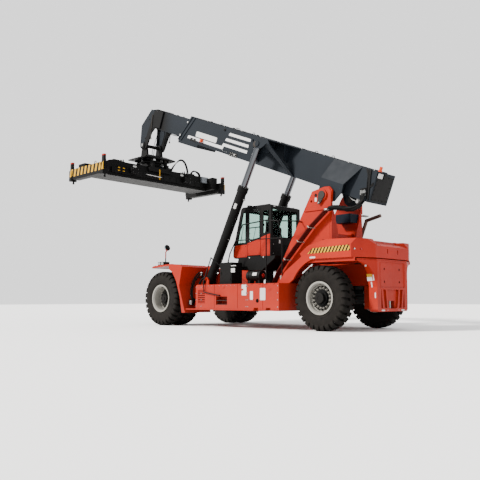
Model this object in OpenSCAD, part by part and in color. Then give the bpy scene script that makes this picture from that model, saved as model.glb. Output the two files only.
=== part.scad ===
// Reach stacker for containers: chassis with a cab in the middle, a
// two-stage boom on two towers and a telescopic spreader under its head.
// Sizes in millimetres, X forward, Y left, Z up, ground at zero. Inside the
// modules X counts from the rear axle; placed() moves it to the middle.

/* [Chassis] */
// distance between the two axles
wheelbase = 6700; // [6300:50:7400]
// outside width over the front twin tyres
front_overall_w = 4200; // [4000:20:4400]
// outside width over the rear tyres
rear_overall_w = 3240; // [3100:20:3400]
// half width of the frame between the steered wheels
rear_frame_hw = 380; // [300:10:390]
// half width of the frame between the side boxes
frame_hw = 560; // [500:10:620]
// underside of the frame and of the side boxes
belly_z = 560; // [480:10:640]
// top deck of the frame and of the side boxes
deck_z = 1380; // [1300:10:1440]
// plate thickness of the frame
frame_t = 40; // [25:5:60]
// half width of the counterweight
cw_hw = 800; // [760:10:900]
// rear face of the counterweight behind the rear axle
cw_rear = 1430; // [1400:10:1560]
// top of the counterweight, where the hood starts
cw_top = 2030; // [1980:10:2060]
// top of the engine hood
hood_z = 2630; // [2550:10:2700]
// tow pin diameter
tow_pin_d = 60; // [40:2:80]

/* [Side boxes] */
// outer face of the side boxes from the middle
box_y = 2000; // [1900:10:2050]
// inner face of the side boxes from the middle
box_in_y = 1000; // [960:10:1040]
// rear end of the side boxes ahead of the rear axle
box_x0 = 1180; // [1170:10:1300]
// gap from the front end of the side boxes to the front axle
box_front = 1800; // [1720:10:1900]

/* [Wheels] */
// outside diameter over the lugs
tyre_d = 1875; // [1800:5:1900]
// width of one tyre
tyre_w = 500; // [460:5:530]
// diameter of the rim at the bead
rim_d = 900; // [840:5:960]
// number of lugs on each shoulder
lug_n = 28; // [24:1:32]
// depth of the grooves between the lugs
lug_h = 60; // [40:1:70]
// gap between the twin tyres
twin_gap = 90; // [60:5:120]
// distance of the kingpins from the middle
kingpin_y = 1000; // [960:10:1040]
// number of studs on a hub
stud_n = 16; // [10:1:20]
// radius of the hubs
hub_r = 215; // [180:5:240]

/* [Boom] */
// pivot of the boom ahead of the rear axle
pivot_x = 450; // [400:10:500]
// height of the boom pivot
pivot_z = 4040; // [3980:10:4120]
// angle of the boom as parked
boom_angle = 21.6; // [15:0.1:30]
// half width of the base boom
boom_hw = 480; // [440:5:500]
// half width of the base boom over the pivot
hip_hw = 700; // [660:5:720]
// underside of the base boom above the pivot
boom_v0 = 200; // [160:5:240]
// top of the base boom above the pivot
boom_v1 = 1135; // [1080:5:1180]
// rear end of the base boom behind the pivot
boom_tail = 1420; // [1400:10:1500]
// front end of the base boom ahead of the pivot
boom_nose = 7510; // [7300:10:7600]
// plate thickness of the booms
boom_t = 30; // [16:2:36]
// gap between the two booms, filled by the wear pads
boom_gap = 40; // [30:1:50]
// front end of the inner boom
inner_nose = 9950; // [9800:10:10100]
// rear end of the inner boom behind the pivot
inner_tail = 1250; // [1000:10:1500]
// diameter of the boom pivot pin
pivot_d = 160; // [120:5:180]

/* [Lift cylinders] */
// distance of the cylinders from the middle
cyl_y = 1080; // [1070:5:1090]
// outside diameter of the tube
tube_d = 330; // [280:5:340]
// diameter of the rod
rod_d = 220; // [180:5:220]
// foot of the cylinder behind the front axle
foot_back = 1440; // [1420:10:1500]
// height of the foot pin
foot_z = 1500; // [1460:10:1540]
// rod eye along the boom from the pivot
eye_u = 2985; // [2900:5:3050]
// rod eye above the pivot, square to the boom
eye_v = 865; // [850:5:880]
// outside radius of the rod eye
eye_r = 122; // [110:1:125]
// width of the rod eye
eye_w = 220; // [200:2:230]
// length of the tube from the foot pin
tube_l = 3560; // [3460:10:3600]
// inner end of the rod from the foot pin
rod_back = 1520; // [1500:5:1540]

/* [Spreader] */
// head pin along the boom from the pivot
head_u = 10320; // [10250:10:10380]
// head pin below the pivot line, square to the boom
head_v = 560; // [520:10:600]
// spacing of the corner locks along the spreader as parked
lock_l = 5854; // [5854:1:5854]
// spacing of the corner locks across the spreader
lock_w = 2260; // [2260:1:2260]
// height of the lock shoulders below the head pin
lock_drop = 1760; // [1720:10:1820]
// half width of the main frame of the spreader
spread_hw = 520; // [490:10:540]
// half length of the main frame of the spreader
spread_hl = 2600; // [2560:10:2640]
// height of the tunnels for the arms
tunnel_h = 380; // [340:5:400]
// running gap round the arms and under the turntable
clear = 8; // [6:1:12]

/* [Cab] */
// rear wall of the cab ahead of the rear axle
cab_x0 = 2680; // [2640:10:2720]
// length of the cab roof
cab_l = 1370; // [1340:10:1420]
// how far the windscreen leans out below the roof
cab_lean = 400; // [340:10:430]
// half width of the cab
cab_hw = 730; // [700:5:760]
// floor of the cab
cab_z0 = 2300; // [2260:10:2330]
// height of the cab
cab_h = 1720; // [1660:10:1740]
// thickness of the cab walls and of the door
cab_t = 50; // [36:2:60]
// width of the door
door_w = 620; // [580:10:660]
// window thickness
glass_t = 8; // [6:1:12]

/* [Hidden] */
gap = 0.4;
elbow = 4;
tyre_r = tyre_d/2;
rim_r = rim_d/2;
tread_r = tyre_r - lug_h;
axle_z = tyre_r;
front_out_y = front_overall_w/2 - tyre_w/2;
front_in_y = front_out_y - tyre_w - twin_gap;
front_clear_y = front_in_y - tyre_w/2;
rear_y = rear_overall_w/2 - tyre_w/2;
box_x1 = wheelbase - box_front;
foot_x = wheelbase - foot_back;
head_x = pivot_x + head_u*cos(boom_angle) + head_v*sin(boom_angle);
head_z = pivot_z + head_u*sin(boom_angle) - head_v*cos(boom_angle);
eye_x = pivot_x + eye_u*cos(boom_angle) - eye_v*sin(boom_angle);
eye_z = pivot_z + eye_u*sin(boom_angle) + eye_v*cos(boom_angle);
cyl_l = sqrt(pow(eye_x - foot_x, 2) + pow(eye_z - foot_z, 2));
cyl_lean = atan2(foot_x - eye_x, eye_z - foot_z);
lock_z = head_z - lock_drop;
end_hw = lock_w/2 + 89;
tail_x = boom_tail*cos(boom_angle) + boom_v1*sin(boom_angle) - pivot_x;
rear_x = max(cw_rear + 10, tail_x);
shift_x = (head_x + end_hw - rear_x)/2;
inner_hw = boom_hw - boom_t - boom_gap;
inner_v0 = boom_v0 + boom_t + boom_gap;
inner_v1 = boom_v1 - boom_t - 2*boom_gap;
sweep_r = sqrt(pow(tyre_r + 2, 2) + pow(rear_overall_w/2 - kingpin_y, 2));
arch_x = sweep_r + 25;
bore_r = tow_pin_d/2 + 1;
tower_y = hip_hw + 40;
tower_t = 60;
boss_y = tower_y + tower_t + 80;
cheek_in = cyl_y - eye_w/2;
cheek_out = cyl_y + eye_w/2 + 4;
fork_w = tube_d/2 + 60;
fork_in = cyl_y - tube_d/2 - 12;
fork_out = cyl_y + tube_d/2 + 12;
fork_t = 44;
foot_pin_r = 60;
seat_z = 1290;
floor_z = 1960;
arch_r = 1150;
fender_x = wheelbase - 1300;
rail_y = 1430;
head_y = inner_hw + gap;
hang_z = head_z - 480;
turn_z = head_z - 700;
beam_z0 = lock_z + 150;
frame_top = beam_z0 + tunnel_h + 230;
cab_front = cab_l + cab_lean;
post = 90;
door_x0 = 460;
door_x1 = door_x0 + door_w;
hinge_zs = [670, 1360];
hinge_r = 14;
hinge_h = 110;

paint = [0.82, 0.25, 0.17];
boom_paint = [0.23, 0.26, 0.30];
black = [0.08, 0.08, 0.09];
chrome = [0.75, 0.76, 0.78];
rubber = [0.12, 0.11, 0.10];
cream = [0.85, 0.84, 0.78];
glass = [0.45, 0.62, 0.56];
amber = [0.90, 0.42, 0.08];

// outline in X and Z, thick in Y
module side(y0, y1) rotate([90, 0, 0]) translate([0, 0, -y1])
    linear_extrude(y1 - y0) children();
// outline in Y and Z, thick in X
module across(x0, x1) translate([x0, 0, 0]) rotate([90, 0, 90])
    linear_extrude(x1 - x0) children();
// outline in X and Y, thick in Z
module level(z0, z1) translate([0, 0, z0]) linear_extrude(z1 - z0)
    children();
module block(x0, x1, y0, y1, z0, z1)
    translate([x0, y0, z0]) cube([x1 - x0, y1 - y0, z1 - z0]);
// the same on the left and on the right
module both() { children(); mirror([0, 1, 0]) children(); }
// the same in front and behind
module fore_aft() { children(); mirror([1, 0, 0]) children(); }
// round bar along Y
module bar_y(x, z, r, y0, y1) translate([x, y0, z]) rotate([-90, 0, 0])
    cylinder(r = r, h = y1 - y0, $fn = 48);
// round bar along X
module bar_x(y, z, r, x0, x1) translate([x0, y, z]) rotate([0, 90, 0])
    cylinder(r = r, h = x1 - x0, $fn = 48);
module placed() translate([-shift_x, 0, 0]) children();
// frame of the boom: X along the boom from the pivot, Z square to it
module on_boom() translate([pivot_x, 0, pivot_z])
    rotate([0, -boom_angle, 0]) children();
// frame of a lift cylinder: Z from the foot pin to the rod eye
module on_cyl() translate([foot_x, 0, foot_z])
    rotate([0, -cyl_lean, 0]) children();
// straight tube between two points
module tube_between(a, b, r) {
    d = b - a;
    l = norm(d);
    translate(a) rotate([0, acos(d[2]/l), atan2(d[1], d[0])])
        cylinder(r = r, h = l, $fn = 24);
}
module tube_path(pts, r) {
    for (i = [0 : len(pts) - 2]) tube_between(pts[i], pts[i + 1], r);
    for (i = [1 : len(pts) - 2]) translate(pts[i])
        sphere(r = r + elbow, $fn = 24);
}

function turn(a) = a/norm(a);
// one hose swept through its own points, with eight sides
function along(p, i) = turn(p[min(i + 1, len(p) - 1)] - p[max(i - 1, 0)]);
function ring(p, i, r) = let (t = along(p, i), s = turn(cross(t, [0, 1, 0.1])),
    w = cross(s, t)) [for (k = [0 : 7])
    p[i] + r*(cos(k*45)*s + sin(k*45)*w)];
function spline(a, b, c, d, u) = 0.5*(2*b + (c - a)*u
    + (2*a - 5*b + 4*c - d)*u*u + (3*b - a - 3*c + d)*u*u*u);
function smooth(p, n) = concat([for (i = [0 : len(p) - 2], j = [0 : n - 1])
    spline(p[max(i - 1, 0)], p[i], p[i + 1], p[min(i + 2, len(p) - 1)],
    j/n)], [p[len(p) - 1]]);
module hose(pts, r) {
    p = smooth(pts, 5);
    m = len(p);
    v = [for (i = [0 : m - 1]) each ring(p, i, r)];
    walls = [for (i = [0 : m - 2], k = [0 : 7]) each [
        [i*8 + k, i*8 + (k + 1)%8, (i + 1)*8 + k],
        [i*8 + (k + 1)%8, (i + 1)*8 + (k + 1)%8, (i + 1)*8 + k]]];
    ends = [[for (k = [7 : -1 : 0]) k], [for (k = [0 : 7]) (m - 1)*8 + k]];
    polyhedron(v, concat(walls, ends));
}

module main_frame() color(paint) placed() {
    difference() {
        union() {
            side(-frame_hw, frame_hw) polygon([[box_x0, belly_z],
                [wheelbase - 1100, belly_z], [wheelbase - 720, seat_z],
                [wheelbase + 620, seat_z], [wheelbase + 620, 1560],
                [wheelbase + 350, 1680], [foot_x + 60, 1680],
                [foot_x - 560, deck_z], [box_x0, deck_z]]);
            // raised beam over the steered axle
            side(-rear_frame_hw, rear_frame_hw) polygon([[-1350, 1300],
                [box_x0 + 900, 1300], [box_x0 + 900, deck_z],
                [box_x0 + 150, 1930], [-1350, 1930]]);
            // cross boxes that carry the side boxes
            for (x = [box_x0 + 150, box_x1 - 700])
                block(x, x + 400, -box_in_y + gap, box_in_y - gap,
                    belly_z + 60, deck_z - 60);
            both() {
                // shelf of the cylinder feet
                block(foot_x - 310, foot_x + 190, frame_hw - 10,
                    fork_out + fork_t, 1040, 1130);
                // inner fork plates run on to carry the fenders
                side(fork_in - fork_t, fork_in) polygon([
                    [foot_x - 310, 1040], [foot_x + 190, 1040],
                    [wheelbase - 640, seat_z], [wheelbase - 300, seat_z],
                    [wheelbase - 300, 2055], [foot_x - 160, 2085],
                    [foot_x - 310, 1880]]);
                block(wheelbase - 640, wheelbase - 300, frame_hw - 10,
                    fork_in, seat_z, seat_z + 80);
                side(fork_out, fork_out + fork_t) polygon([
                    [foot_x - 200, 1040], [foot_x + 190, 1040],
                    [foot_x + 190, foot_z + 50], [foot_x + 100, foot_z + 160],
                    [foot_x - 100, foot_z + 160], [foot_x - 200, foot_z + 50]]);
            }
        }
        both() bar_y(foot_x, foot_z, foot_pin_r + gap, fork_in - 100,
            fork_out + 100);
        // openings in the flanks of the raised beam
        side(-rear_frame_hw - 1, -rear_frame_hw + frame_t) polygon([
            [330, 1420], [1000, 1420], [1000, 1800], [330, 1800]]);
        side(rear_frame_hw - frame_t, rear_frame_hw + 1) polygon([
            [330, 1420], [1000, 1420], [1000, 1800], [330, 1800]]);
    }
}

module tower_plan() polygon([[box_x0 + 160, deck_z + gap],
    [2480, deck_z + gap], [2110, 2130], [890, 4200], [420, 4290],
    [220, 4280], [120, 4160], [210, 3110], [210, 2700], [-160, 2300],
    [-160, floor_z + 12 + gap], [box_x0 + 160, floor_z + 12 + gap]]);
module boom_towers() color(paint) placed() {
    both() {
        difference() {
            union() {
                side(tower_y, tower_y + tower_t) tower_plan();
                // doubler and boss round the pivot
                side(tower_y, tower_y + tower_t + 26) polygon([[150, 3600],
                    [1180, 3600], [880, 4180], [420, 4268], [235, 4258],
                    [150, 4140]]);
                bar_y(pivot_x, pivot_z, 165, tower_y, boss_y);
            }
            bar_y(pivot_x, pivot_z, pivot_d/2 + gap, hip_hw, boss_y + 1);
            bar_y(900, 3890, 36, tower_y + 40, boss_y);
        }
        // rear face, wider towards the hood
        across(150, 205) polygon([[tower_y + tower_t, floor_z + 400],
            [tower_y + tower_t, 3100], [tower_y, 4050], [tower_y - 8, 3700],
            [500, 3000], [430, 2700], [430, floor_z + 400]]);
        // front face
        intersection() {
            side(tower_y - 320, tower_y + gap) polygon([[2090, 2110],
                [2050, 2090], [1210, 3510], [1250, 3540]]);
            across(1100, 2200) polygon([[tower_y + gap, 2000],
                [tower_y - 300, 2160], [tower_y - 30, 3545],
                [tower_y + gap, 3545]]);
        }
        side(frame_hw + gap, tower_y) polygon([[box_x0 + 200, deck_z + gap],
            [2430, deck_z + gap], [2400, 1560], [box_x0 + 200, 1560]]);
    }
    // cross wall between the towers
    across(330, 390) polygon([[-tower_y, 2380], [tower_y, 2380],
        [tower_y, 3050], [420, 2900], [-420, 2900], [-tower_y, 3050]]);
    // bracket of the valve box
    side(-620, -560) polygon([[206, 2400], [390, 2400], [780, 3270],
        [780, 3290], [206, 3290]]);
}
// closed box for valves on a bracket between the towers
module valve_box() color(black) placed()
    block(206, 780, -700, -240, 3290 + gap, 3570);

module side_box_shape() difference() {
    union() {
        side(box_in_y, box_y) polygon([[box_x0, belly_z],
            [box_x1, belly_z], [box_x1, deck_z - 40], [box_x1 - 40, deck_z],
            [box_x0, deck_z]]);
        // ledge on to the fender
        block(box_x1 - 10, fender_x - 10, box_in_y, box_y, belly_z,
            belly_z + 40);
        // skirt bar along the bottom
        block(box_x0 + 40, fender_x - 10, box_y - 10, box_y + 24,
            belly_z + 4, belly_z + 32);
    }
    // step recess
    block(box_x1 - 1520, box_x1 - 1000, box_y - 220, box_y + 30, 730, 1010);
    // grille recess
    block(box_x1 - 460, box_x1 - 120, box_y - 26, box_y + 1, 780, 1210);
    // door seams
    for (x = [box_x0 + 640, box_x0 + 1720, box_x1 - 930])
        block(x, x + 14, box_y - 10, box_y + 1, belly_z + 60, deck_z + 1);
    // pockets in the bottom edge
    for (x = [box_x0 + 330, box_x0 + 830])
        block(x, x + 190, box_y - 120, box_y + 30, belly_z - 1,
            belly_z + 90);
    bar_y(box_x0 + 870, 860, 52, box_y - 60, box_y + 30);
    block(box_x1 - 2300, box_x1 - 2240, box_y - 40, box_y + 1, 1120, 1290);
}
module side_box() {
    side_box_shape();
    for (i = [0 : 6]) block(box_x1 - 470, box_x1 - 110, box_y - 22,
        box_y - 6, 800 + i*60, 830 + i*60);
    // step bar
    block(box_x1 - 1560, box_x1 - 960, box_y - 40, box_y - 8, 990, 1020);
}
module side_box_left() color(paint) placed() side_box();
module side_box_right() color(paint) placed() mirror([0, 1, 0]) side_box();

module front_fenders() color(paint) placed() both()
    translate([wheelbase, 0, 0]) {
        // roof of the arch
        side(fork_in + gap, box_y + 60) polygon([[-1060, 1850],
            [-930, 1975], [-500, 2062], [440, 2030], [540, 2002],
            [566, 2030], [540, 2056], [460, 2084], [-500, 2124],
            [-1000, 2090], [-1130, 2010]]);
        // back wall of the arch
        side(fork_in + gap, box_y + 60) polygon([[-1320, 460],
            [-1290, 455], [-960, 1350], [-1050, 1850], [-1130, 2010],
            [-985, 1360]]);
        // lip along the outer edge
        side(box_y, box_y + 62) polygon([[-1320, 460], [-1150, 455],
            [-1030, 1000], [-820, 1540], [-610, 1830], [-420, 1945],
            [-420, 2062], [-500, 2120], [-1000, 2090], [-1130, 2010],
            [-985, 1360]]);
        block(-1120, -960, fork_in + gap, fork_in + 160, 1300, 1330);
    }

module drive_axle() color(black) placed() {
    bar_y(wheelbase, axle_z, 230, -front_in_y + 60, front_in_y - 60);
    bar_y(wheelbase, axle_z, 330, -300, 300);
    translate([wheelbase - 700, 0, axle_z]) rotate([0, 90, 0])
        cylinder(r1 = 120, r2 = 300, h = 600, $fn = 48);
    both() bar_y(wheelbase, axle_z, 300, 700, 760);
    both() block(wheelbase - 230, wheelbase + 230, 340,
        frame_hw - 20, axle_z, seat_z - gap);
}

module steer_axle() color(black) placed() {
    difference() {
        union() {
            side(-250, 250) polygon([[-230, 760], [230, 760], [230, 1060],
                [120, 1200], [-120, 1200], [-230, 1060]]);
            both() across(-180, 180) polygon([[240, 790],
                [kingpin_y - 80, 820], [kingpin_y - 80, 1050], [240, 1060]]);
            both() translate([0, kingpin_y, 800]) cylinder(r = 120,
                h = 270, $fn = 48);
        }
        both() translate([0, kingpin_y, 780]) cylinder(r = 60 + clear,
            h = 320, $fn = 48);
    }
    // steering cylinder across the rear of the beam
    bar_y(-330, 930, 85, -420, 420);
    bar_y(-330, 930, 45, -700, 700);
    both() block(-330, -170, 200, 260, 860, 1000);
    block(-260, 260, -200, 200, 1200 - gap, 1300 - gap);
}

// outline of the counterweight from behind, wide under the hood
module cw_back(d) polygon([[-cw_hw + 60 + d, belly_z + d], [cw_hw - 60 - d,
    belly_z + d], [cw_hw - d, belly_z + 60], [cw_hw + 10 - d, 1250],
    [cw_hw + 90 - d, 1620], [cw_hw + 250 - d, 1850],
    [cw_hw + 600 - d, 1980], [cw_hw + 600 - d, cw_top],
    [-cw_hw - 600 + d, cw_top], [-cw_hw - 600 + d, 1980],
    [-cw_hw - 250 + d, 1850], [-cw_hw - 90 + d, 1620],
    [-cw_hw - 10 + d, 1250], [-cw_hw + d, belly_z + 60]]);
module cw_plan(d) polygon([[-arch_x, -1410 + d], [-arch_x, 1410 - d],
    [-cw_rear + 40 + d, cw_hw + 40 - d], [-cw_rear + d, cw_hw - d],
    [-cw_rear + d, -cw_hw + d], [-cw_rear + 40 + d, -cw_hw - 40 + d]]);
module counterweight() color(paint) placed() {
    difference() {
        union() {
            intersection() {
                across(-cw_rear, -arch_x) cw_back(0);
                level(belly_z, cw_top) cw_plan(0);
            }
            // ballast ahead of it, between the wheels
            block(-arch_x - 1, -700, -rear_frame_hw, rear_frame_hw,
                belly_z + 60, 1290);
        }
        // seat of the raised beam
        block(-1350 - gap, -1000, -rear_frame_hw - gap,
            rear_frame_hw + gap, 1300 - gap, 2100);
        // sunk panel of the rear face with its bolt holes
        level(1240, 1960) polygon([[-cw_rear - 1, -640], [-cw_rear + 26,
            -610], [-cw_rear + 34, 0], [-cw_rear + 26, 610],
            [-cw_rear - 1, 640]]);
        for (y = [-400, 400], z = [1400, 1760])
            bar_x(y, z, 36, -cw_rear - 1, -cw_rear + 120);
        // pocket of the lower half
        block(-cw_rear - 1, -cw_rear + 60, -620, 620, 660, 1180);
        // tow pocket with its pin bore
        block(-cw_rear - 1, -cw_rear + 240, -150, 150, belly_z + 80, 860);
        translate([-cw_rear + 120, 0, belly_z - 1]) cylinder(r = bore_r,
            h = 100, $fn = 48);
        // groove under the top rim
        difference() {
            level(1990, 2004) cw_plan(-2);
            level(1989, 2005) cw_plan(16);
        }
    }
    // slanted ribs
    both() for (y = [260, 480]) across(-cw_rear, -cw_rear + 61)
        polygon([[y - 30, 659], [y + 50, 659], [y + 120, 1181],
            [y + 50, 1181]]);
}

module hood_plan() polygon([[900, -1550], [900, 1550], [-1080, 1550],
    [-cw_rear + 50, 1000], [-cw_rear - 10, 880], [-cw_rear - 10, -880],
    [-cw_rear + 50, -1000], [-1080, -1550]]);
module engine_hood() color(paint) placed() {
    difference() {
        intersection() {
            side(-1550, 1550) polygon([[640, cw_top + 30], [760, 2240],
                [420, 2480], [-80, hood_z], [-cw_rear + 130, hood_z - 40],
                [-cw_rear + 20, hood_z - 160], [-cw_rear - 10, 2440],
                [-cw_rear - 10, cw_top + 30]]);
            level(2000, 2700) hood_plan();
            // bevel along the sides
            across(-1700, 900) polygon([[-1550, 2000], [1550, 2000],
                [1550, 2430], [1380, hood_z - 10], [1250, hood_z + 10],
                [-1250, hood_z + 10], [-1380, hood_z - 10],
                [-1550, 2430]]);
        }
        // room over the engine
        block(-1100, -300, -420, 420, 2000, 2300);
        // lower deck behind, with a bevel along its rear edge
        side(-820, 820) polygon([[-cw_rear - 20, 2390], [-cw_rear + 90,
            2470], [-1080, 2490], [-1000, hood_z + 1],
            [-cw_rear - 20, hood_z + 1]]);
        // towers stand in it
        block(-230, 800, -900, 900, 2000, 2700);
        // lamp pockets and the vents of the rear end
        both() for (x = [-1130, -1230]) translate([x, 1550 + (x + 1080)*1.78,
            2290]) rotate([0, 0, 61]) block(-30, 30, -30, 60, -24, 24);
        both() block(-cw_rear - 11, -cw_rear + 30, 250, 290, 2200, 2330);
        both() side(560, 600) polygon([[-cw_rear + 20, 2480],
            [-cw_rear + 150, 2490], [-cw_rear + 150, 2450],
            [-cw_rear + 20, 2400]]);
    }
    // base of the exhaust
    block(300, 520, -1090, -940, 2350, 2560);
    both() {
        // panel over the rear wheel
        difference() {
            side(1480, 1550) polygon([[1180, deck_z + gap],
                [1620, deck_z + gap], [1340, 1730], [700, 2150],
                [640, cw_top + 40], [-300, cw_top + 40],
                [-300, cw_top - 60], [400, 1900]]);
            bar_y(0, axle_z, arch_r, 1479, 1551);
        }
        // sloping walkway behind it
        side(tower_y + tower_t + 8, 1480) polygon([[1600, deck_z + gap],
            [1640, deck_z + 20], [1350, 1745], [700, 2165], [640, 2140],
            [1310, 1705]]);
        // floor over the wheel
        side(rear_frame_hw + gap, 1480) polygon([[-arch_x + 10, floor_z],
            [640, floor_z], [640, floor_z + 12], [-arch_x + 10,
            floor_z + 12]]);
        block(-arch_x + 10, 641, 1440, 1480, floor_z, cw_top + 40);
    }
}

module engine_block() color(black) placed()
    block(-1050, -350, -360, 360, 1930 + gap, 2290);

module cab_base() color(black) placed() {
    side(-1000, 1000) polygon([[2250, cab_z0 - 10], [2280, 2200],
        [2820, 1840], [4030, 1880], [3900, cab_z0 - 10]]);
    block(cab_x0 - 60, cab_x0 + cab_l + 340, -cab_hw, cab_hw,
        cab_z0 - 10, cab_z0 - gap);
    for (x = [2900, 3800]) both() block(x, x + 160, 360, 520,
        deck_z + gap, 1870);
    both() {
        // box and lying tank on the deck beside the cab
        block(3580, 4140, 1150, 1620, deck_z + gap, 2100);
        for (x = [2450, 2860]) block(x, x + 70, 1300, 1500,
            deck_z + gap, 1500);
        bar_x(1400, 1640, 165, 2410, 2990);
    }
}

module cab_side() polygon([[0, 0], [cab_front - 60, 0],
    [cab_front, 60], [cab_front, 290], [cab_l + 30, cab_h - 70],
    [cab_l - 40, cab_h], [120, cab_h + 6], [0, cab_h - 40]]);
module cab_in() polygon([[cab_t, cab_t], [cab_front - cab_t - 40, cab_t],
    [cab_front - cab_t, 270], [cab_l - 50, cab_h - cab_t - 40],
    [cab_t, cab_h - cab_t - 40]]);
module cab_shell() color(black) placed() translate([cab_x0, 0, cab_z0])
    difference() {
        side(-cab_hw, cab_hw) cab_side();
        side(-cab_hw + cab_t, cab_hw - cab_t) cab_in();
        both() {
            // window before the door, rear side window
            side(cab_hw - cab_t - 1, cab_hw + 1) polygon([
                [door_x1 + post, 500], [cab_front - 190, 500],
                [cab_l - 60, cab_h - 190], [door_x1 + post, cab_h - 190]]);
            side(cab_hw - cab_t - 1, cab_hw + 1) polygon([[90, 790],
                [door_x0 - post, 770], [door_x0 - post, cab_h - 190],
                [90, cab_h - 190]]);
        }
        // door opening, and a window on the other side
        side(cab_hw - cab_t - 1, cab_hw + 1) polygon([
            [door_x0 - clear, 60 - clear], [door_x1 + clear, 60 - clear],
            [door_x1 + clear, cab_h - 120], [door_x0 - clear, cab_h - 120]]);
        side(-cab_hw - 1, -cab_hw + cab_t + 1) polygon([
            [door_x0 + 60, 560], [door_x1 - 60, 500],
            [door_x1 - 60, cab_h - 190], [door_x0 + 60, cab_h - 190]]);
        // rear window
        block(-1, cab_t + 1, -cab_hw + 150, cab_hw - 90, 650,
            cab_h - 150);
        // windscreen, upper and lower
        block(cab_l - 200, cab_front + 20, -cab_hw + 90, cab_hw - 90, 420,
            cab_h - 150);
        block(cab_front - 100, cab_front + 20, -cab_hw + 90, cab_hw - 90,
            110, 300);
        block(300, 1000, -460, 460, cab_h - 100, cab_h + 20);
        // room for the hinge barrels
        for (z = hinge_zs) translate([door_x0, cab_hw, z - clear])
            cylinder(r = hinge_r + clear, h = hinge_h + 2*clear, $fn = 32);
    }

module cab_glass() color(glass) placed() translate([cab_x0, 0, cab_z0]) {
    both() {
        side(cab_hw - 30, cab_hw - 30 + glass_t) polygon([
            [door_x1 + post + 1, 501], [cab_front - 191, 501],
            [cab_l - 61, cab_h - 191], [door_x1 + post + 1, cab_h - 191]]);
        side(cab_hw - 30, cab_hw - 30 + glass_t) polygon([[91, 791],
            [door_x0 - post - 1, 771], [door_x0 - post - 1, cab_h - 191],
            [91, cab_h - 191]]);
    }
    side(-cab_hw + 30 - glass_t, -cab_hw + 30) polygon([
        [door_x0 + 61, 561], [door_x1 - 61, 501],
        [door_x1 - 61, cab_h - 191], [door_x0 + 61, cab_h - 191]]);
    block(22, 22 + glass_t, -cab_hw + 151, cab_hw - 91, 651, cab_h - 151);
    block(301, 999, -459, 459, cab_h - 60, cab_h - 60 + glass_t);
    // leaning windscreen and the pane under it
    side(-cab_hw + 91, cab_hw - 91) polygon([[cab_front - 65, 421],
        [cab_front - 65 + glass_t, 421], [cab_l + 20 + glass_t, cab_h - 151],
        [cab_l + 20, cab_h - 151]]);
    block(cab_front - 30, cab_front - 30 + glass_t, -cab_hw + 91,
        cab_hw - 91, 111, 289);
}

module cab_seat() color(black) placed() translate([cab_x0, 0, cab_z0]) {
    block(560, 900, -150, 150, cab_t + gap, 330);
    block(480, 980, -260, 260, 330, 450);
    side(-250, 250) polygon([[420, 440], [560, 440], [450, 1080],
        [340, 1080]]);
    both() block(520, 900, 290, 370, 450, 590);
    both() block(600, 700, 250, 300, 400, 450);
    // console and steering column
    block(cab_front - 420, cab_front - 180, -300, 300, cab_t + gap, 300);
    translate([cab_front - 420, 0, 290]) rotate([0, -35, 0]) {
        cylinder(r = 30, h = 320, $fn = 24);
        translate([0, 0, 320]) difference() {
            cylinder(r = 190, h = 26, $fn = 36);
            translate([0, 0, -1]) cylinder(r = 160, h = 28, $fn = 36);
        }
        translate([-25, -180, 322]) cube([50, 360, 18]);
    }
}

module cab_door() color(black) placed() translate([cab_x0, 0, cab_z0]) {
    // hinge barrels
    for (z = hinge_zs) translate([door_x0, cab_hw, z])
        cylinder(r = hinge_r, h = hinge_h, $fn = 32);
    difference() {
        side(cab_hw - cab_t + clear, cab_hw) polygon([[door_x0, 60],
            [door_x1, 60], [door_x1, cab_h - 120 - clear],
            [door_x0, cab_h - 120 - clear]]);
        side(cab_hw - cab_t, cab_hw + 1) polygon([[door_x0 + 55, 640],
            [door_x1 - 55, 560], [door_x1 - 55, cab_h - 190],
            [door_x0 + 55, cab_h - 190]]);
    }
}
module door_glass() color(glass) placed() translate([cab_x0, 0, cab_z0])
    side(cab_hw - 26, cab_hw - 26 + glass_t) polygon([
        [door_x0 + 56, 641], [door_x1 - 56, 561],
        [door_x1 - 56, cab_h - 191], [door_x0 + 56, cab_h - 191]]);
// painted lower panels of the cab, with the door between them
module cab_panels() color(paint) placed() translate([cab_x0, 0, cab_z0]) {
    both() {
        side(cab_hw + gap, cab_hw + 9) polygon([[door_x1 + 12, 20],
            [cab_front - 30, 20], [cab_front - 100, 430],
            [door_x1 + 12, 440]]);
        side(cab_hw + gap, cab_hw + 9) polygon([[40, 20],
            [door_x0 - 12, 20], [door_x0 - 12, 640], [180, 720],
            [40, 735]]);
    }
    side(-cab_hw - 9, -cab_hw - gap) polygon([[door_x0, 20],
        [door_x1, 20], [door_x1, 470], [door_x0, 530]]);
}
module door_panel() color(paint) placed() translate([cab_x0, 0, cab_z0])
    side(cab_hw + gap, cab_hw + 9) polygon([[door_x0 + 6, 66],
        [door_x1 - 6, 66], [door_x1 - 6, 480], [door_x0 + 6, 600]]);

module handrails() color(black) placed() both() {
    tube_path([[3950, rail_y, 2100 + gap], [3950, rail_y, 2150],
        [3870, rail_y, 2400],
        [3280, rail_y, 3310], [2230, rail_y, 3370], [1740, rail_y, 3310],
        [1300, rail_y - 300, 3290], [1300, tower_y + tower_t + gap, 3290]],
        20);
    tube_between([3600, rail_y, 2816], [1580, rail_y, 2770], 16);
    tube_between([2230, rail_y, 3370], [2230, rail_y, deck_z + gap], 20);
    tube_path([[1740, rail_y, 3310], [1560, rail_y, 2740],
        [1560, rail_y, 1517.4]], 18);
    // grab rail down to the step
    tube_path([[4140 + gap, 1560, 2000], [4190, 1560, 2000],
        [4500, 1700, 2280], [4460, box_y + 50, 1480],
        [4420, box_y + 60, 1140], [3710, box_y + 60, 1030],
        [3710, box_y + gap, 1030]], 18);
}

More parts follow.
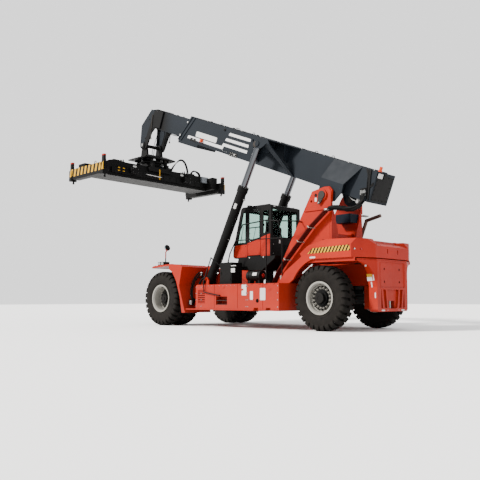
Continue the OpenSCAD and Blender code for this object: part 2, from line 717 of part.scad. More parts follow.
module tower_pipes() color(paint) placed()
    for (i = [0 : 3]) {
        y = tower_y + tower_t + 76 + i*62;
        tube_path([[2300, y, deck_z + gap], [2300, y, deck_z + 60],
            [2080, y, 1800],
            [1850, y, 2060], [780, y, 3110], [200, y, 3545]], 24);
    }
// clamps round the pipe bundle
module pipe_clamps() color(cream) placed()
    for (k = [0.08, 0.58, 0.97]) translate([1850 - 1070*k,
        tower_y + tower_t + gap, 2060 + 1050*k]) rotate([0, 45.6, 0])
        difference() {
            block(-12, 12, 0, 300, -40, 40);
            block(-13, 13, 40, 292, -26, 26);
        }

module exhaust_stack() color(chrome) placed() {
    tube_path([[420, -1010, 2580], [360, -1010, 2840],
        [130, -1010, 3400], [-400, -1010, 3520]], 58);
    translate([420, -1010, 2560 + gap]) cylinder(r = 74, h = 50, $fn = 36);
}

module work_lamps() color(black) placed() {
    // lamps and mirrors on the front fenders
    both() {
        block(wheelbase + 20, wheelbase + 380, 1700, 1940, 2102.6, 2230);
        tube_path([[wheelbase - 120, 1980, 2109.2], [wheelbase - 120, 1980,
            2560], [wheelbase - 180, 1980, 2620]], 20);
        translate([wheelbase - 180, 1980, 2700]) rotate([0, -70, 0])
            cylinder(r = 110, h = 40, $fn = 36);
        // lamp and horn at the foot of the fender
        block(fender_x - 60, fender_x - 20, 1700, 1900, 700, 900);
        block(cab_x0 + cab_l - 200, cab_x0 + cab_l - 100, 420, 560,
            cab_z0 + cab_h + 1.4, cab_z0 + cab_h + 90);
    }
}
// flexible lines from the cylinder feet down to the ledge
module foot_hoses() color(black) placed() both()
    for (i = [0 : 1])
        hose([[foot_x - 60, 1330 + i*50, 1660], [foot_x + 60, 1420 + i*50,
            1500], [foot_x + 60, 1500 + i*50, 1150],
            [foot_x + 20, 1560 + i*50, 760],
            [foot_x, 1620 + i*50, belly_z + 49.5]], 20);

// one side plate of the lifting bracket, and the walls that carry it
module lift_bracket() {
    // top plate, drawn in to the boom behind and ahead of the pin
    level(boom_v1 - 23, boom_v1) polygon([[1650, boom_hw - 10],
        [3444, boom_hw - 10], [3444, 740], [3080, cheek_out + 50],
        [2500, cheek_out + 50]]);
    // front wall
    across(3418, 3444) polygon([[boom_hw - 10, 250], [840, 700],
        [1000, 980], [740, boom_v1 - 1], [boom_hw - 10, boom_v1 - 1]]);
    // outer cheek with its boss
    side(cheek_out + 12, cheek_out + 50) polygon([[2500, boom_v1 - 1],
        [3080, boom_v1 - 1], [3100, 890], [2960, 755], [2700, 790],
        [2500, 1000]]);
    bar_y(2900, 905, 85, cheek_out + 49, cheek_out + 78);
    // inner cheek
    side(cheek_in - 70, cheek_in - 20) polygon([[2450, boom_v1 - 1],
        [3420, boom_v1 - 1], [3420, 800], [2950, 680], [2600, 700],
        [2450, 950]]);
    bar_y(2900, 905, 120, boom_hw - 10, cheek_in - 21);
    // slanting strut from the cheek down to the edge of the boom
    intersection() {
        side(boom_hw - 10, cheek_out + 50) polygon([[2500, boom_v1 - 1],
            [2760, boom_v1 - 1], [2760, 1000], [1800, boom_v0 + 10],
            [1640, boom_v0 + 10]]);
        across(1600, 2800) polygon([[boom_hw - 10, boom_v0 + 10],
            [boom_hw + 30, boom_v0 + 10], [cheek_out + 50, 1000],
            [cheek_out + 50, boom_v1 - 1], [cheek_out + 12, boom_v1 - 1],
            [cheek_out + 12, 1010], [boom_hw - 10, boom_v0 + 45]]);
    }
    // rib behind the strut
    across(2100, 2125) polygon([[boom_hw - 10, 560], [boom_hw + 200, 640],
        [boom_hw + 330, boom_v1 - 1], [boom_hw - 10, boom_v1 - 1]]);
}
// bent plate over the pivot: slanting above, upright below
module hip_outline() polygon([[245, boom_v1 - 1], [-866, boom_v1 - 1],
    [-530, 480], [-547, 249], [-384, -74], [-190, -150], [150, -150],
    [321, 131], [374, 454]]);
module hip() {
    intersection() {
        side(boom_hw - 20, hip_hw) hip_outline();
        across(-900, 400) polygon([[boom_hw, boom_v1 - 1], [hip_hw, 480],
            [hip_hw, -160], [hip_hw - 36, -160], [hip_hw - 36, 465],
            [boom_hw - 20, 1090], [boom_hw - 20, boom_v1 - 1]]);
    }
    // web that closes it in front
    intersection() {
        side(boom_hw - 20, hip_hw) polygon([[245, boom_v1 - 1],
            [215, boom_v1 - 1], [344, 454], [291, 131], [120, -150],
            [150, -150], [321, 131], [374, 454]]);
        across(0, 400) polygon([[boom_hw, boom_v1 - 1], [hip_hw, 480],
            [hip_hw, -160], [560, -160], [boom_hw - 20, 210],
            [boom_hw - 20, boom_v1 - 1]]);
    }
    // inner plate of the pivot lug
    side(hip_hw - 150, hip_hw - 115) polygon([[-384, 210], [-300, -60],
        [-190, -150], [150, -150], [310, 131], [330, 210]]);
    level(boom_v0, boom_v0 + 30) polygon([[-500, boom_hw - 20],
        [-540, hip_hw - 1], [330, hip_hw - 1], [330, boom_hw - 20]]);
    bar_y(0, 0, 190, hip_hw - 150, hip_hw);
}
module boom_base() color(boom_paint) placed() on_boom() {
    difference() {
        union() {
            side(-boom_hw, boom_hw) polygon([[-boom_tail, boom_v0],
                [boom_nose + 510, boom_v0], [boom_nose, boom_v1],
                [-boom_tail, boom_v1]]);
            // pad house under the nose
            side(-boom_hw, boom_hw) polygon([[6870, 60],
                [boom_nose + 510, 40], [boom_nose + 560, boom_v0 + 1],
                [6800, boom_v0 + 1]]);
            // collar rings of the nose
            for (u = [-170, 10]) side(-boom_hw - 26, boom_hw + 26)
                polygon([[boom_nose + u - 40, boom_v1 + 26],
                [boom_nose + u + 520, 150], [boom_nose + u + 560, 150],
                [boom_nose + u + 60, boom_v1 + 26]]);
            both() { hip(); lift_bracket(); }
            // ribs of the tail and stops along the top
            both() side(boom_hw - 10, boom_hw + 30) polygon([
                [-1400, boom_v0 + 2], [-1340, boom_v0 + 2],
                [-1100, boom_v1 - 2], [-1160, boom_v1 - 2]]);
            for (u = [3900, 5200, 6500]) block(u, u + 60, 300, 360,
                boom_v1 - 1, boom_v1 + 50);
        }
        // channel of the inner boom
        side(-boom_hw + boom_t, boom_hw - boom_t)
            polygon([[-boom_tail + boom_t, boom_v0 + boom_t],
            [boom_nose + 900, boom_v0 + boom_t],
            [boom_nose + 900, boom_v1 - boom_t],
            [-boom_tail + boom_t, boom_v1 - boom_t]]);
        bar_y(0, 0, pivot_d/2 + gap, -hip_hw - 1, hip_hw + 1);
        // slot with the pad screws
        both() block(5080, 5420, boom_hw - 14, boom_hw + 1, 230, 330);
    }
    // wear pads of the nose
    both() {
        block(7000, 7300, 120, 330, boom_v0 + boom_t - 1, inner_v0 - clear);
        block(7000, 7300, 120, 330, inner_v1 + clear, boom_v1 - boom_t + 1);
    }
}
// pin of each tower with its drop-shaped keeper
module pivot_pins() color(black) placed() both() {
    bar_y(pivot_x, pivot_z, pivot_d/2, hip_hw - 150, boss_y + 30);
    bar_y(pivot_x, pivot_z, 120, boss_y + gap, boss_y + 36);
    side(boss_y + gap, boss_y + 30) polygon([[350, 3975], [520, 3775],
        [600, 3800], [570, 4045]]);
    bar_y(558, 3800, 44, boss_y + gap, boss_y + 30);
}

module boom_lamps() color(amber) placed() on_boom() {
    translate([-1350, 260, boom_v1 + gap]) cylinder(r = 60, h = 40,
        $fn = 36);
    translate([-1350, 260, boom_v1 + gap]) cylinder(r = 48, h = 150,
        $fn = 36);
    both() block(6560, 6640, boom_hw + gap, boom_hw + 100, 330, 440);
}

module boom_inner() color(boom_paint) placed() on_boom() {
    difference() {
        side(-inner_hw, inner_hw) polygon([[-inner_tail, inner_v0],
            [inner_nose, inner_v0], [inner_nose, inner_v1],
            [-inner_tail, inner_v1]]);
        side(-inner_hw + boom_t, inner_hw - boom_t) polygon([
            [-inner_tail - 1, inner_v0 + boom_t],
            [inner_nose + 1, inner_v0 + boom_t],
            [inner_nose + 1, inner_v1 - boom_t],
            [-inner_tail - 1, inner_v1 - boom_t]]);
    }
    // stops along the upper edge
    for (u = [8300, 8700, 9300]) block(u, u + 50, 250, 300, inner_v1 - 1,
        inner_v1 + 30);
}

module boom_head() color(boom_paint) placed() on_boom() {
    both() {
        difference() {
            union() {
                side(head_y, head_y + 60) polygon([[9480, inner_v0 + 60],
                    [9800, inner_v0 + 30], [9960, 60],
                    [10060, -head_v - 40], [10140, -head_v - 110],
                    [10420, -head_v - 125], [10520, -head_v - 20],
                    [10750, 200], [10310, 970], [9920, 950],
                    [9480, inner_v1]]);
                bar_y(head_u, -head_v, 150, head_y + 60, head_y + 90);
            }
            bar_y(head_u, -head_v, 71, 0, 1000);
        }
        // flange that stiffens the front edge
        side(head_y - 130, head_y) polygon([[10300, 962], [10735, 200],
            [10700, 190], [10270, 940]]);
        side(head_y - 100, head_y) polygon([[10500, -head_v + 60],
            [10735, 205], [10705, 205], [10470, -head_v + 60]]);
    }
    // back plate and box between the cheeks
    side(-head_y, head_y) polygon([[inner_nose + 1, inner_v0 + 200],
        [inner_nose + 40, inner_v0 + 190], [10010, 930], [9965, 930]]);
    side(-head_y, head_y) polygon([[9965, inner_v1 + 20],
        [10300, 962], [10270, 920], [9985, inner_v1 - 20]]);
    side(-300, 300) polygon([[9985, 420], [10240, 350], [10240, 240],
        [9985, 270]]);
}

module lift_tube() on_cyl() {
    difference() {
        union() {
            translate([0, 0, 100]) cylinder(d = tube_d, h = tube_l - 100,
                $fn = 64);
            translate([0, 0, tube_l - 190]) cylinder(d = tube_d + 40,
                h = 190, $fn = 64);
            bar_y(0, 0, tube_d/2, -tube_d/2 + 4, tube_d/2 - 4);
        }
        translate([0, 0, 370]) cylinder(r = rod_d/2 + gap,
            h = tube_l, $fn = 64);
        bar_y(0, 0, foot_pin_r + gap, -tube_d, tube_d);
    }
    bar_y(0, 0, foot_pin_r, -fork_w, fork_w);
    // ports and the line along the tube
    block(-tube_d/2 - 50, -tube_d/2 + 20, -40, 40, tube_l - 420,
        tube_l - 330);
    block(-tube_d/2 - 50, -tube_d/2 + 20, -40, 40, 420, 520);
    translate([-tube_d/2 - 26, 0, 500]) cylinder(r = 20,
        h = tube_l - 900, $fn = 24);
}
module lift_rod() on_cyl() {
    translate([0, 0, rod_back]) cylinder(d = rod_d,
        h = cyl_l - rod_back - 90, $fn = 64);
    bar_y(0, cyl_l, eye_r, -eye_w/2, eye_w/2);
    bar_y(0, cyl_l, 62, -eye_w/2 - 5, eye_w/2 + 5);
}
module lift_tube_left() color(black) placed()
    translate([0, cyl_y, 0]) lift_tube();
module lift_tube_right() color(black) placed()
    translate([0, -cyl_y, 0]) lift_tube();
module lift_rod_left() color(chrome) placed()
    translate([0, cyl_y, 0]) lift_rod();
module lift_rod_right() color(chrome) placed()
    translate([0, -cyl_y, 0]) lift_rod();

module spreader_hanger() color(black) placed() translate([head_x, 0, 0]) {
    bar_y(0, head_z, 70, -head_y - 110, head_y + 110);
    // yoke between the cheeks
    both() side(head_y - 90, head_y - clear) polygon([[-140, head_z + 60],
        [-70, head_z + 130], [70, head_z + 130], [140, head_z + 60],
        [230, hang_z], [-230, hang_z]]);
    // skirt roof over the turntable
    difference() {
        across(-620, 620) polygon([[-head_y - 40, hang_z + 40],
            [head_y + 40, hang_z + 40], [760, hang_z - 90],
            [760, hang_z - 130], [-760, hang_z - 130],
            [-760, hang_z - 90]]);
        fore_aft() side(-800, 800) polygon([[400, hang_z + 41],
            [621, hang_z + 41], [621, hang_z - 80]]);
    }
    // round body with the ring on it
    translate([0, 0, turn_z + gap]) cylinder(r1 = 470, r2 = 330,
        h = hang_z - 130 - turn_z - gap + 1, $fn = 64);
    both() for (x = [-470, 350]) block(x, x + 120, 300, 520, turn_z + 30,
        hang_z - 129);
}

module spreader_rotator() color(black) placed()
    translate([head_x, 0, 0]) {
        translate([0, 0, turn_z - 60]) cylinder(r = 520, h = 60 - gap,
            $fn = 64);
        translate([0, 0, turn_z - 200]) cylinder(r = 400, h = 141,
            $fn = 64);
        // carriage that slides across the main frame
        side(-620, 620) polygon([[-spread_hw - 100, frame_top + clear],
            [spread_hw + 100, frame_top + clear], [spread_hw - 60,
            turn_z - 170], [-spread_hw + 60, turn_z - 170]]);
        fore_aft() {
            block(spread_hw + clear, spread_hw + 100, -560, 560,
                frame_top - 180, frame_top + clear + 1);
            for (y = [-420, 300]) block(spread_hw - 40, spread_hw + 100,
                y, y + 120, frame_top, turn_z - 120);
        }
        // gear motors of the turntable
        for (a = [35, 145, 215, 325]) rotate([0, 0, a])
            translate([590, 0, turn_z - 180]) cylinder(r = 80, h = 190,
                $fn = 36);
    }

module spreader_frame() color(black) placed() translate([head_x, 0, 0]) {
    difference() {
        // main beams with sloping ends
        across(-spread_hw, spread_hw) polygon([[-spread_hl, beam_z0],
            [spread_hl, beam_z0], [spread_hl, beam_z0 + 440],
            [spread_hl - 260, frame_top], [-spread_hl + 260, frame_top],
            [-spread_hl, beam_z0 + 440]]);
        // tunnels of the arms
        for (x = [20, -500])
            block(x, x + 480, -spread_hl - 1, spread_hl + 1, beam_z0 + 30,
                beam_z0 + 30 + tunnel_h);
        // pockets of the top deck
        for (y = [-2150, -1500, 900, 1550]) block(-400, 400, y, y + 500,
            frame_top - 120, frame_top + 1);
    }
    // cover boxes, cable tray and hose bridge
    both() block(-330, 330, 1780, 2060, frame_top - 121, frame_top + 90);
    block(spread_hw, spread_hw + 90, -2300, 2300, beam_z0 + 120,
        beam_z0 + 330);
    block(-spread_hw - 90, -spread_hw, -2300, 2300, beam_z0 + 120,
        beam_z0 + 330);
    both() block(-spread_hw - 260, -spread_hw - 89, 1150, 1500,
        beam_z0 + 180, beam_z0 + 400);
}

// one telescopic arm: its beam runs in the front tunnel
module spreader_arm() {
    block(30, 490, -2200, lock_l/2 - 110, beam_z0 + 40,
        beam_z0 + 20 + tunnel_h);
    // end beam across, with sloping shoulders
    across_end(lock_l/2 - 130, lock_l/2 + 120);
    fore_aft() {
        // corner housings
        block(lock_w/2 - 89, end_hw, lock_l/2 - 89,
            lock_l/2 + 150, lock_z, lock_z + 200);
        difference() {
            block(end_hw - 54, end_hw, lock_l/2 - 60, lock_l/2 + 60,
                lock_z + 150, lock_z + 440);
            block(end_hw - 13, end_hw + 1, lock_l/2 - 30, lock_l/2 + 30,
                lock_z + 240, lock_z + 400);
        }
        // guide arms that hang down at the corners
        side(lock_l/2 + 124, lock_l/2 + 150) polygon([
            [lock_w/2 - 90, lock_z + 420], [end_hw, lock_z + 420],
            [end_hw, lock_z + 80], [lock_w/2 - 20, lock_z + 80]]);
        block(lock_w/2 - 60, end_hw, lock_l/2 + 20, lock_l/2 + 110,
            lock_z + 470, lock_z + 760);
        // turning locks
        translate([lock_w/2, lock_l/2, 0]) {
            translate([0, 0, lock_z - 60]) cylinder(r = 28, h = 70,
                $fn = 36);
            translate([0, 0, lock_z - 110]) cylinder(r1 = 18, r2 = 46,
                h = 34, $fn = 36);
            translate([0, 0, lock_z - 76]) cylinder(r1 = 46, r2 = 40,
                h = 24, $fn = 36);
        }
    }
    // gusset between the arm and its end beam
    level(lock_z + 200, lock_z + 320) polygon([[31, spread_hl + 12],
        [489, spread_hl + 12], [620, lock_l/2 - 129],
        [-620, lock_l/2 - 129]]);
    // box of the drive
    block(spread_hw + 20, 1000, lock_l/2 - 400, lock_l/2 - 129,
        lock_z + 180, lock_z + 700);
}
module across_end(y0, y1) side(y0, y1) polygon([
    [-end_hw + 14, lock_z + 170], [-lock_w/2 + 200, lock_z + 40],
    [lock_w/2 - 200, lock_z + 40], [end_hw - 14, lock_z + 170],
    [end_hw - 14, lock_z + 470], [-end_hw + 14, lock_z + 470]]);
module spreader_arm_left() color(black) placed()
    translate([head_x, 0, 0]) spreader_arm();
module spreader_arm_right() color(black) placed()
    translate([head_x, 0, 0]) rotate([0, 0, 180]) spreader_arm();

// one tyre as rings of seven points; the lugs of the two shoulders
// stand half a pitch apart
module tyre(x, y) translate([x, y, axle_z]) {
    w = tyre_w/2;
    m = 2*lug_n;
    // the facets of the bead stay clear of the rim
    bead = (rim_r + gap)/cos(180/m);
    p = [for (i = [0 : m - 1]) let (a = i*360/m,
        l = i%2 == 0 ? tyre_r - 26 : tread_r - 26,
        r = i%2 == 0 ? tread_r - 26 : tyre_r - 26)
        for (q = [[bead, -w*0.76], [rim_r + 190, -w], [l, -w*0.88],
        [tyre_r, 0], [r, w*0.88], [rim_r + 190, w],
        [bead, w*0.76]]) [q[0]*sin(a), q[1], q[0]*cos(a)]];
    polyhedron(p, [for (i = [0 : m - 1], k = [0 : 6]) let (j = (i + 1)%m,
        n = (k + 1)%7) each [[i*7 + k, j*7 + k, i*7 + n],
        [i*7 + n, j*7 + k, j*7 + n]]]);
}
// rim with its lip; the disc stands at a distance out from the middle
module rim(y, out) translate([0, y, 0]) rotate([-90, 0, 0]) {
    w = tyre_w/2;
    rotate_extrude($fn = 72) polygon([[rim_r - 50, -w*0.76],
        [rim_r, -w*0.76], [rim_r, w*0.76 + 1], [rim_r + 26, w*0.8 + 8],
        [rim_r + 26, w*0.8 + 34], [rim_r - 20, w*0.8 + 30],
        [rim_r - 50, w*0.7]]);
    translate([0, 0, out - 34]) difference() {
        cylinder(r = rim_r - 46, h = 34, $fn = 72);
        translate([0, 0, -1]) cylinder(r = 150, h = 36, $fn = 48);
    }
}
module hub(y0, y1) translate([0, y0, 0]) rotate([-90, 0, 0]) {
    cylinder(r = hub_r, h = (y1 - y0)*0.72, $fn = 48);
    cylinder(r = hub_r*0.72, h = y1 - y0, $fn = 48);
}
// ring of studs that clamp the rim
module studs(y, r, h) for (i = [0 : stud_n - 1]) rotate([0, i*360/stud_n, 0])
    translate([0, y, r]) block(-16, 16, 0, h, -30, 30);
module front_tyres() { tyre(wheelbase, front_out_y);
    tyre(wheelbase, front_in_y); }
module front_tyres_left() color(rubber) placed() front_tyres();
module front_tyres_right() color(rubber) placed() mirror([0, 1, 0])
    front_tyres();
module front_rims() translate([wheelbase, 0, axle_z]) {
    rim(front_out_y, -60);
    rim(front_in_y, 100);
    hub(front_in_y - 40, front_out_y + 60);
    studs(front_out_y - 61, 290, 40);
}
module front_rims_left() color(cream) placed() front_rims();
module front_rims_right() color(cream) placed() mirror([0, 1, 0])
    front_rims();
module rear_rim() translate([0, 0, axle_z]) {
    rim(rear_y, 90);
    hub(rear_y - 60, rear_y + 230);
    studs(rear_y + 89, 320, 60);
}
module rear_tyre_left() color(rubber) placed() tyre(0, rear_y);
module rear_tyre_right() color(rubber) placed() mirror([0, 1, 0])
    tyre(0, rear_y);
module rear_rim_left() color(cream) placed() rear_rim();
module rear_rim_right() color(cream) placed() mirror([0, 1, 0])
    rear_rim();

module knuckle() {
    translate([0, kingpin_y, 690]) cylinder(r = 60, h = 500, $fn = 48);
    for (z = [690, 1090]) block(-110, 110, kingpin_y - 110,
        kingpin_y + 210, z, z + 90);
    block(-110, 110, kingpin_y + 140, kingpin_y + 210, 690, 1180);
    bar_y(0, axle_z, 110, kingpin_y + 200, rear_y - 60 - gap);
    // steering arm
    block(-300, -100, kingpin_y - 60, kingpin_y + 60, 700, 770);
}
module knuckle_left() color(black) placed() knuckle();
module knuckle_right() color(black) placed() mirror([0, 1, 0]) knuckle();

// lines from the pipes over to the tail of the boom
module boom_hoses() color(black) placed() for (i = [0 : 3])
    hose([[200 - 22, tower_y + tower_t + 76 + i*62, 3560],
        [40, tower_y + 90 + i*56, 3600], [-140, 740 + i*50, 3575],
        [-360, 620 + i*45, 3560], [-600, 556 + i*40, 3600],
        [-680 - i*42, 530 + i*30, 3730], [-700 - i*50, 514 + i*12, 3870],
        [-700 - i*50, boom_hw + 21, 4010]], 19);

main_frame();
boom_towers();
valve_box();
pivot_pins();
side_box_left();
side_box_right();
front_fenders();
drive_axle();
steer_axle();
counterweight();
engine_hood();
engine_block();
cab_base();
cab_shell();
cab_glass();
cab_panels();
cab_seat();
handrails();
tower_pipes();
pipe_clamps();
exhaust_stack();
work_lamps();
foot_hoses();
boom_base();
boom_lamps();
boom_inner();
boom_head();
lift_tube_left();
lift_tube_right();
lift_rod_left();
lift_rod_right();
spreader_hanger();
spreader_rotator();
spreader_frame();
spreader_arm_left();
spreader_arm_right();
front_tyres_left();
front_rims_left();
front_tyres_right();
front_rims_right();
rear_tyre_left();
rear_rim_left();
rear_tyre_right();
rear_rim_right();
knuckle_left();
knuckle_right();
cab_door();
door_glass();
door_panel();
boom_hoses();
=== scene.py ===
# %% [markdown]
# # A reach stacker in its studio
# This lesson dresses a container handler: a red chassis on six big lugged
# tyres, a cab in the middle and a long two-stage boom that carries a
# spreader. The rigid solids come ready made and stand where they must. What
# is added here is what gives them life: camera, light, finishes and the many
# small pieces that a drawing of solids leaves out.

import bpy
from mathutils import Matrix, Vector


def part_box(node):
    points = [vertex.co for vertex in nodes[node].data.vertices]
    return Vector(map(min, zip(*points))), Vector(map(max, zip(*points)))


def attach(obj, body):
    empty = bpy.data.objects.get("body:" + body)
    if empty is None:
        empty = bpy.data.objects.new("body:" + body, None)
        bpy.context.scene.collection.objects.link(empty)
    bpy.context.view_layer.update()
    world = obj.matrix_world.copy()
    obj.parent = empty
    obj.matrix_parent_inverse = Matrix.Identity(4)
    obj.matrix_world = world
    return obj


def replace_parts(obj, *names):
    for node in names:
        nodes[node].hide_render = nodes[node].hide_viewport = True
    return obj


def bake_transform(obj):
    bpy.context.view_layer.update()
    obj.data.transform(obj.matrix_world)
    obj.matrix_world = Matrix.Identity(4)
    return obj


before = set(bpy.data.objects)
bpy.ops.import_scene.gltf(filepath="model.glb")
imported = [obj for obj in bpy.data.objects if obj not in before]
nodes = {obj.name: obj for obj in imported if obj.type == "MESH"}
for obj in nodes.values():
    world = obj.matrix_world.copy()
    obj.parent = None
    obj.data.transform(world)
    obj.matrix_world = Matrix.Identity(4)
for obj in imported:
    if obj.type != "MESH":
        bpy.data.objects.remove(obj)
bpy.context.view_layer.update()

# %% Modules and short names
import math
import bmesh
import bpy
from mathutils import Matrix, Vector

scene = bpy.context.scene

# %% [markdown]
# ## Where things are
# Every measure of this machine is taken from its rear axle: forward is X,
# left is Y and up is Z, in metres. The solids are centred on their own box
# instead, so one shift is enough to go from one to the other. It is read
# from the rear tyre, so nothing has to be typed twice.

# %% The rear axle as the origin of all measures
tyre_low, tyre_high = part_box("rear_tyre_left")
REAR_AXLE_X = (tyre_low[0] + tyre_high[0])/2
tyre_low, tyre_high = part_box("front_tyres_left")
WHEELBASE = (tyre_low[0] + tyre_high[0])/2 - REAR_AXLE_X
TYRE_R = (tyre_high[2] - tyre_low[2])/2


def at(x, y, z):
    """A point measured from the rear axle, as a point of the scene."""
    return Vector((x + REAR_AXLE_X, y, z))


print("rear axle at", round(REAR_AXLE_X, 3), "wheelbase", round(WHEELBASE, 3))

# %% [markdown]
# ## The camera
# The camera stands low behind the machine's left rear corner and looks up a
# little along it. A long view with the optical axis off the middle of the
# picture needs a lens shift, not a turn, or the upright lines would lean.

# %% The camera behind the left rear corner
CAMERA_AT = at(-10.845, 15.234, 0.904)
CAMERA_TURN = math.radians(42.147)
CAMERA_PITCH = math.radians(5.534)
FOCAL_PIXELS, PICTURE, AXIS_PIXEL = 612.159, 480, 280
SENSOR_WIDTH = 36.0

look = Vector((math.sin(CAMERA_TURN)*math.cos(CAMERA_PITCH),
               -math.cos(CAMERA_TURN)*math.cos(CAMERA_PITCH),
               math.sin(CAMERA_PITCH)))
camera_data = bpy.data.cameras.new("camera")
camera_data.sensor_width = SENSOR_WIDTH
camera_data.lens = FOCAL_PIXELS*SENSOR_WIDTH/PICTURE
camera_data.shift_x = (PICTURE/2 - AXIS_PIXEL)/PICTURE
camera_data.clip_end = 300
camera = bpy.data.objects.new("camera", camera_data)
scene.collection.objects.link(camera)
camera.location = CAMERA_AT
camera.rotation_euler = look.to_track_quat("-Z", "Y").to_euler()
scene.camera = camera
print("lens", round(camera_data.lens, 2), "mm")

# %% [markdown]
# ## The studio
# A pale, plain floor runs far out behind the machine. The light is soft: a
# bright sky all round, one large lamp high in front of the left side, like a
# low afternoon sun behind thin cloud, and a weak one from behind, so
# that the shaded faces keep their shapes. A bright sky needs darker paints,
# since the picture is read like a film that never quite reaches white.

# %% Floor
def mesh_object(name, verts, faces):
    """An object from a list of corners and a list of faces."""
    mesh = bpy.data.meshes.new(name)
    mesh.from_pydata([tuple(v) for v in verts], [], faces)
    mesh.validate()
    mesh.update()
    obj = bpy.data.objects.new(name, mesh)
    scene.collection.objects.link(obj)
    return obj


FLOOR_HALF, FLOOR_Z = 90.0, -0.002
floor = mesh_object("studio_floor", [
    (x*FLOOR_HALF, y*FLOOR_HALF, FLOOR_Z)
    for x, y in ((-1, -1), (1, -1), (1, 1), (-1, 1))], [(0, 1, 2, 3)])

# %% Light
world = bpy.data.worlds.new("studio_sky")
scene.world = world
world.use_nodes = True
sky = world.node_tree.nodes["Background"].inputs
sky["Color"].default_value = (1.0, 1.0, 1.0, 1)
sky["Strength"].default_value = 1.6


def sun(name, energy, angle, direction, colour=(1, 1, 1)):
    """A far lamp that shines along a direction."""
    data = bpy.data.lights.new(name, "SUN")
    data.energy, data.angle, data.color = energy, math.radians(angle), colour
    lamp = bpy.data.objects.new(name, data)
    scene.collection.objects.link(lamp)
    lamp.rotation_euler = Vector(direction).to_track_quat(
        "-Z", "Y").to_euler()
    return lamp


sun("key_light", 10.0, 9, (-0.42, -0.80, -0.62), (1.0, 0.97, 0.93))
sun("fill_light", 0.6, 40, (0.7, -0.1, -0.3))

# %% [markdown]
# ## Finishes
# Paint, rubber, chrome and glass are mixed from nodes, never from pictures.
# Each finish gets a base colour that drifts a little over metres, a fine
# grain for the bump, and a film of dust that gathers low down. All of it is
# worked out from the place in space, so it does not need unwrapped surfaces
# and stays on the piece in every view.

# %% Helpers for node trees
def new_material(name):
    """An empty material with its shader, returned with its node tree."""
    material = bpy.data.materials.new(name)
    material.use_nodes = True
    tree = material.node_tree
    return material, tree, tree.nodes["Principled BSDF"]


def feed(tree, slot, value):
    """Sets a slot to a number, or links a socket to it."""
    if hasattr(value, "is_output"):
        tree.links.new(value, slot)
    else:
        slot.default_value = value


def reckon(tree, operation, *values):
    """A number worked out from numbers or sockets."""
    node = tree.nodes.new("ShaderNodeMath")
    node.operation = operation
    for slot, value in zip(node.inputs, values):
        feed(tree, slot, value)
    return node.outputs["Value"]


def space(tree):
    """Position in object space, whole and split in X, Y and Z."""
    coords = tree.nodes.new("ShaderNodeTexCoord").outputs["Object"]
    split = tree.nodes.new("ShaderNodeSeparateXYZ")
    tree.links.new(coords, split.inputs["Vector"])
    return coords, split.outputs


def measured(tree, direction):
    """Position in object space, measured along a direction."""
    dot = tree.nodes.new("ShaderNodeVectorMath")
    dot.operation = "DOT_PRODUCT"
    dot.inputs[1].default_value = direction
    tree.links.new(space(tree)[0], dot.inputs[0])
    return dot.outputs["Value"]


def step(tree, value, low=0.0, high=1.0, first=0.0, last=1.0):
    """First where the value is low, last where high, a slope between."""
    node = tree.nodes.new("ShaderNodeMapRange")
    for slot, number in (("From Min", low), ("From Max", high),
                         ("To Min", first), ("To Max", last)):
        node.inputs[slot].default_value = number
    tree.links.new(value, node.inputs["Value"])
    return node.outputs["Result"]


def noise(tree, coords, scale, detail=3.0):
    """A noise value in object space."""
    node = tree.nodes.new("ShaderNodeTexNoise")
    node.inputs["Scale"].default_value = scale
    node.inputs["Detail"].default_value = detail
    node.inputs["Roughness"].default_value = 0.55
    tree.links.new(coords, node.inputs["Vector"])
    return node.outputs["Fac"]


def ramp(tree, value, stops):
    """A colour ramp through (position, colour) stops."""
    node = tree.nodes.new("ShaderNodeValToRGB")
    band = node.color_ramp
    band.elements[0].position, band.elements[0].color = stops[0]
    band.elements[1].position, band.elements[1].color = stops[-1]
    for position, colour in stops[1:-1]:
        band.elements.new(position).color = colour
    tree.links.new(value, node.inputs["Fac"])
    return node.outputs["Color"]


def mixed(tree, factor, a, b, blend="MIX"):
    """Two colours mixed by a factor; numbers or sockets are both fine."""
    node = tree.nodes.new("ShaderNodeMixRGB")
    node.blend_type = blend
    for slot, value in (("Fac", factor), ("Color1", a), ("Color2", b)):
        feed(tree, node.inputs[slot], value)
    return node.outputs["Color"]


def tint(colour, factor):
    """A colour made lighter or darker."""
    return (*(min(part*factor, 1) for part in colour), 1)


